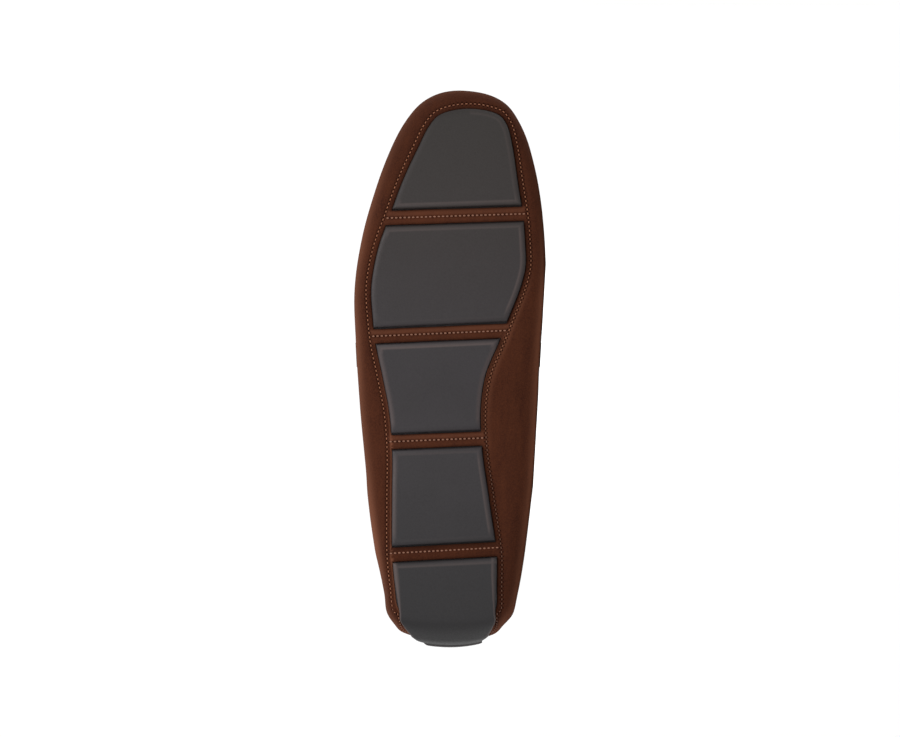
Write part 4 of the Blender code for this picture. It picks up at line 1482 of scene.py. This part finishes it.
def stitched(threads, shade_beads, path, sink, pitch=PITCH, long=STITCH_LONG, wide=STITCH_WIDE):
    """Stitches along a path, a dark needle hole after each, and a smaller dark bead of painted shade on
    both sides of it.
    """
    steps = walked(path, pitch)
    sunk = [(at - out * sink, along, out) for at, along, out in steps]
    beads(threads, sunk, long, wide, STITCH_FLAT * wide)
    if shade_beads is None:
        return
    on_bar = wide > STITCH_WIDE
    between = [(at + along * pitch / 2 - out * (sink + HOLE_SINK), along, out) for at, along, out in steps]
    beads(shade_beads, between, HOLE_LONG * (BAR_HOLE if on_bar else 1.0), HOLE_WIDE, HOLE_HIGH)
    if on_bar:
        return
    for side, size in SIDE_SHADE_SIZE.items():
        for sideways in (-SIDE_SHADE_OFF, SIDE_SHADE_OFF):
            beside = []
            for at, along, out in steps:
                if at.y * side > 0:
                    beside.append((at + out.cross(along) * sideways - out * 0.3 * sink, along, out))
            if beside:
                beads(shade_beads, beside, size * HOLE_LONG, size * HOLE_WIDE, SIDE_SHADE_HIGH)


def wall_path(places):
    """Path on the soft wall from (side, turn, level) places, with outward directions."""
    path = []
    for side, turn, level in places:
        point, out = wall_point(side, turn, level), outward(side, turn, level)
        path.append((point + out * softness(point), out))
    return path


# %% Stitch rows of the sole
HEEL_MARGIN, HEEL_TOP, RING_END, RING_STEPS = 0.02, 2.3, 0.125, 260
GROOVE, ON_WALL, BAR_ROW_END = DIP_DEPTH - 0.05, 0.05, STITCH_OUT - 0.9
threads, shade_beads, rim_threads = bmesh.new(), bmesh.new(), bmesh.new()
ring = []
for side in SIDES:
    turns = [1 - (1 - RING_END) * step / RING_STEPS for step in range(RING_STEPS + 1)]
    ring.append(wall_path([(side, turn, level_at(side, turn, STITCH_OUT)) for turn in turns]))
    # Beside the heel skin the row leaves the window's edge and climbs the wall
    start = level_at(side, RING_END, STITCH_OUT)
    turn_step = (heel_reach(side, 1.0) + HEEL_MARGIN - RING_END) / 6
    places = [(side, RING_END + turn_step * step, start + (1 - start) * step / 6) for step in range(6)]
    for step in range(14):
        level = 1.0 + (HEEL_TOP - 1.0) * step / 13
        places.append((side, heel_reach(side, level) + HEEL_MARGIN, level))
    stitched(rim_threads, shade_beads, wall_path(places), ON_WALL)
stitched(rim_threads, shade_beads, list(reversed(ring[0])) + ring[1][1:], GROOVE)
# The row on the medial side carries painted shade from the heel to the waist
MEDIAL_THREAD_SHADE = 0.75
thread_shade = rim_threads.verts.layers.float.new("thread_shade")
for vert in rim_threads.verts:
    vert[thread_shade] = MEDIAL_THREAD_SHADE * (1 - ramp(vert.co.x, 95, 130)) * ramp(vert.co.y, -5, 5)
for bar, off in enumerate(BARS["row"]):
    middle = bar_row(KEYS, bar, 0.5 + off / BAR_WIDTH)
    ends = [wall_point(side, middle[side], 0) for side in SIDES]
    beyond = (ends[1] - ends[0]).normalized() * BAR_ROW_END
    row = [(ends[0] - beyond).lerp(ends[1] + beyond, step / 40) for step in range(41)]
    row = [(Vector((p.x, p.y, bottom(p.x))), Vector((0, 0, -1))) for p in row]
    stitched(threads, shade_beads, row, GROOVE, **BAR_STITCH)
print("sole stitches:", (len(threads.faces) + len(rim_threads.faces)) // (len(BULGE) * BEAD_AROUND))

# %% [markdown]
# The topline has a fine stitch row under its fold, the strap one along each edge, and the apron is joined
# to the sides by hand: the seam stands up as a gathered ridge, and thick thread is whipped over it.

# %% Rows on collar, tongue and strap
COLLAR_LEVEL, ON_STRAP, TONGUE_EDGE = 2.925, 0.02, 3.5
collar = [(LATERAL, THROAT_ROW[LATERAL] * step / 120, COLLAR_LEVEL) for step in range(120, -1, -1)]
collar += [(MEDIAL, THROAT_ROW[MEDIAL] * step / 120, COLLAR_LEVEL) for step in range(1, 121)]
stitched(threads, None, wall_path(collar), ON_WALL, **FINE_STITCH)


def strap_row(share):
    """Path along the strap at a share of its width."""
    path = []
    for line in STRAP_LINES[3:-3]:
        here = strap_point(line, share)
        across = strap_point(line, min(share + 0.1, 1)) - strap_point(line, max(share - 0.1, 0))
        path.append((here, across))
    outs = []
    for index, (here, across) in enumerate(path):
        along = path[min(index + 1, len(path) - 1)][0] - path[max(index - 1, 0)][0]
        out = across.cross(along).normalized()
        if not looks_out(out, here):
            out = -out
        outs.append((here + out * STRAP_TOP, out))
    return outs


for share in (0.11, 0.89):
    stitched(threads, None, strap_row(share), ON_STRAP, **FINE_STITCH)
tongue_row = rows_past(VAMP_ROWS, THROAT + TONGUE_EDGE)[0]
tongue_out = Vector((-0.3, 0, 1)).normalized()
tongue_path = [(crown_point(tongue_row, spot / 24), tongue_out) for spot in range(-22, 23)]
stitched(threads, None, tongue_path, ON_WALL, **FINE_STITCH)
print("faces of thread so far:", len(threads.faces))

# %% Whipped apron seam
UP, SEAM_SINK = Vector((0, 0, 1)), Vector((0, 0, 0.9))
WHIP_PITCH, WHIP_RADIUS, WHIP_THREAD, RIDGE_STEP = 6.2, 1.75, 0.5, 0.8
ridge_rows = rows_past(FINE_ROWS, SEAM_FADE[0] + 2)
ridge = [(rim_point(LATERAL, row[LATERAL]), UP) for row in ridge_rows]
ridge += [(rim_point(MEDIAL, row[MEDIAL]), UP) for row in reversed(ridge_rows[:-1])]
even = [at for at, _, _ in walked(ridge, RIDGE_STEP)]
radii = []
for index, point in enumerate(even):
    # The ridge fades out towards the strap and is drawn in under each whip stitch
    gather = 1 + 0.13 * math.cos(2 * math.pi * index * RIDGE_STEP / WHIP_PITCH)
    radii.append((0.5 + 0.95 * ramp(point.x, *SEAM_FADE)) * gather)
radii[0] = radii[-1] = 0.0
bm = bmesh.new()
tube(bm, [point - SEAM_SINK for point in even], radii, around=10)
welded(bm)
finished("apron_seam", bm, suede)
for at, along, _ in walked(ridge, WHIP_PITCH):
    if at.x < SEAM_FADE[1] - 6:
        continue
    side = along.cross(UP).normalized()
    loop = []
    for step in range(9):
        angle = math.radians(-115 + 230 * step / 8)
        way = math.sin(angle) * side + math.cos(angle) * side.cross(along)
        loop.append(at - SEAM_SINK + WHIP_RADIUS * way)
    tube(threads, loop, [0.0] + [WHIP_THREAD] * 7 + [0.0], around=6)
for name, mesh, look in (
    ("stitches", threads, thread),
    ("rim_stitches", rim_threads, ring_thread),
    ("needle_holes_and_shade", shade_beads, hole_shade),
):
    welded(mesh)
    finished(name, mesh, look)

# %% [markdown]
# ## Floor, light and camera
# The floor is a plain white sheet under a white sky, so that nothing but the shoe draws the eye. A large
# soft lamp overhead is on the picture's left, because the camera is rolled: the shoe's toe points up in
# the picture while it really lies along the floor. The camera looks along the sole's own upward
# direction.

# %% Floor
PAPER_VALUES = {"Base Color": "#fbfbfa", "Roughness": 0.9, "Specular IOR Level": 0.1}
FLOOR_HALF = 8.0
bm = bmesh.new()
bmesh.ops.create_grid(bm, x_segments=8, y_segments=8, size=FLOOR_HALF)
floor = placed("floor", bm)
floor.data.materials.append(new_material("white_paper", PAPER_VALUES)[0])
print("floor:", 2 * FLOOR_HALF, "m wide")

# %% Light
scene = bpy.context.scene
scene.view_settings.view_transform = "Standard"
scene.view_settings.look = "None"
world = bpy.data.worlds.new("white_sky")
scene.world = world
world.use_nodes = True
fill(world.node_tree, world.node_tree.nodes["Background"], {"Color": "#ffffff", "Strength": 1.05})
LAMP_AIM = Vector((0, 0, 0.05))


def soft_lamp(name, at, size, watts):
    """Round soft lamp that shines on the shoe."""
    data = bpy.data.lights.new(name, "AREA")
    data.shape, data.size, data.energy = "DISK", size, watts
    lamp = bpy.data.objects.new(name, data)
    lamp.location = at
    lamp.rotation_euler = (LAMP_AIM - Vector(at)).to_track_quat("-Z", "Y").to_euler()
    scene.collection.objects.link(lamp)
    print(name, "lamp:", watts, "W,", size, "m wide")


soft_lamp("overhead", (0.3, -0.9, 1.5), 0.9, 16.0)
soft_lamp("front", (0.3, -2.2, 0.9), 1.2, 10.0)

# %% Camera
PIXEL_MM, PICTURE_WIDTH, DISTANCE, CAMERA_HEIGHT = 0.5115, 900, 5.0, 0.006
AIM = SHOE_POSE @ Vector((139.9, -0.2, 4.0))
camera_data = bpy.data.cameras.new("camera")
camera_data.sensor_width = 36.0
camera_data.lens = camera_data.sensor_width * DISTANCE * 1000 / (PICTURE_WIDTH * PIXEL_MM)
camera = bpy.data.objects.new("camera", camera_data)
stand = Vector((AIM.x, AIM.y - DISTANCE, CAMERA_HEIGHT))
back = (stand - AIM).normalized()
toe_way = SHOE_TURN.col[0]
upright = (toe_way - back * toe_way.dot(back)).normalized()
camera_turn = Matrix((upright.cross(back), upright, back)).transposed()
camera.matrix_world = Matrix.Translation(stand) @ camera_turn.to_4x4()
scene.collection.objects.link(camera)
scene.camera = camera
print("camera lens:", round(camera_data.lens), "mm")
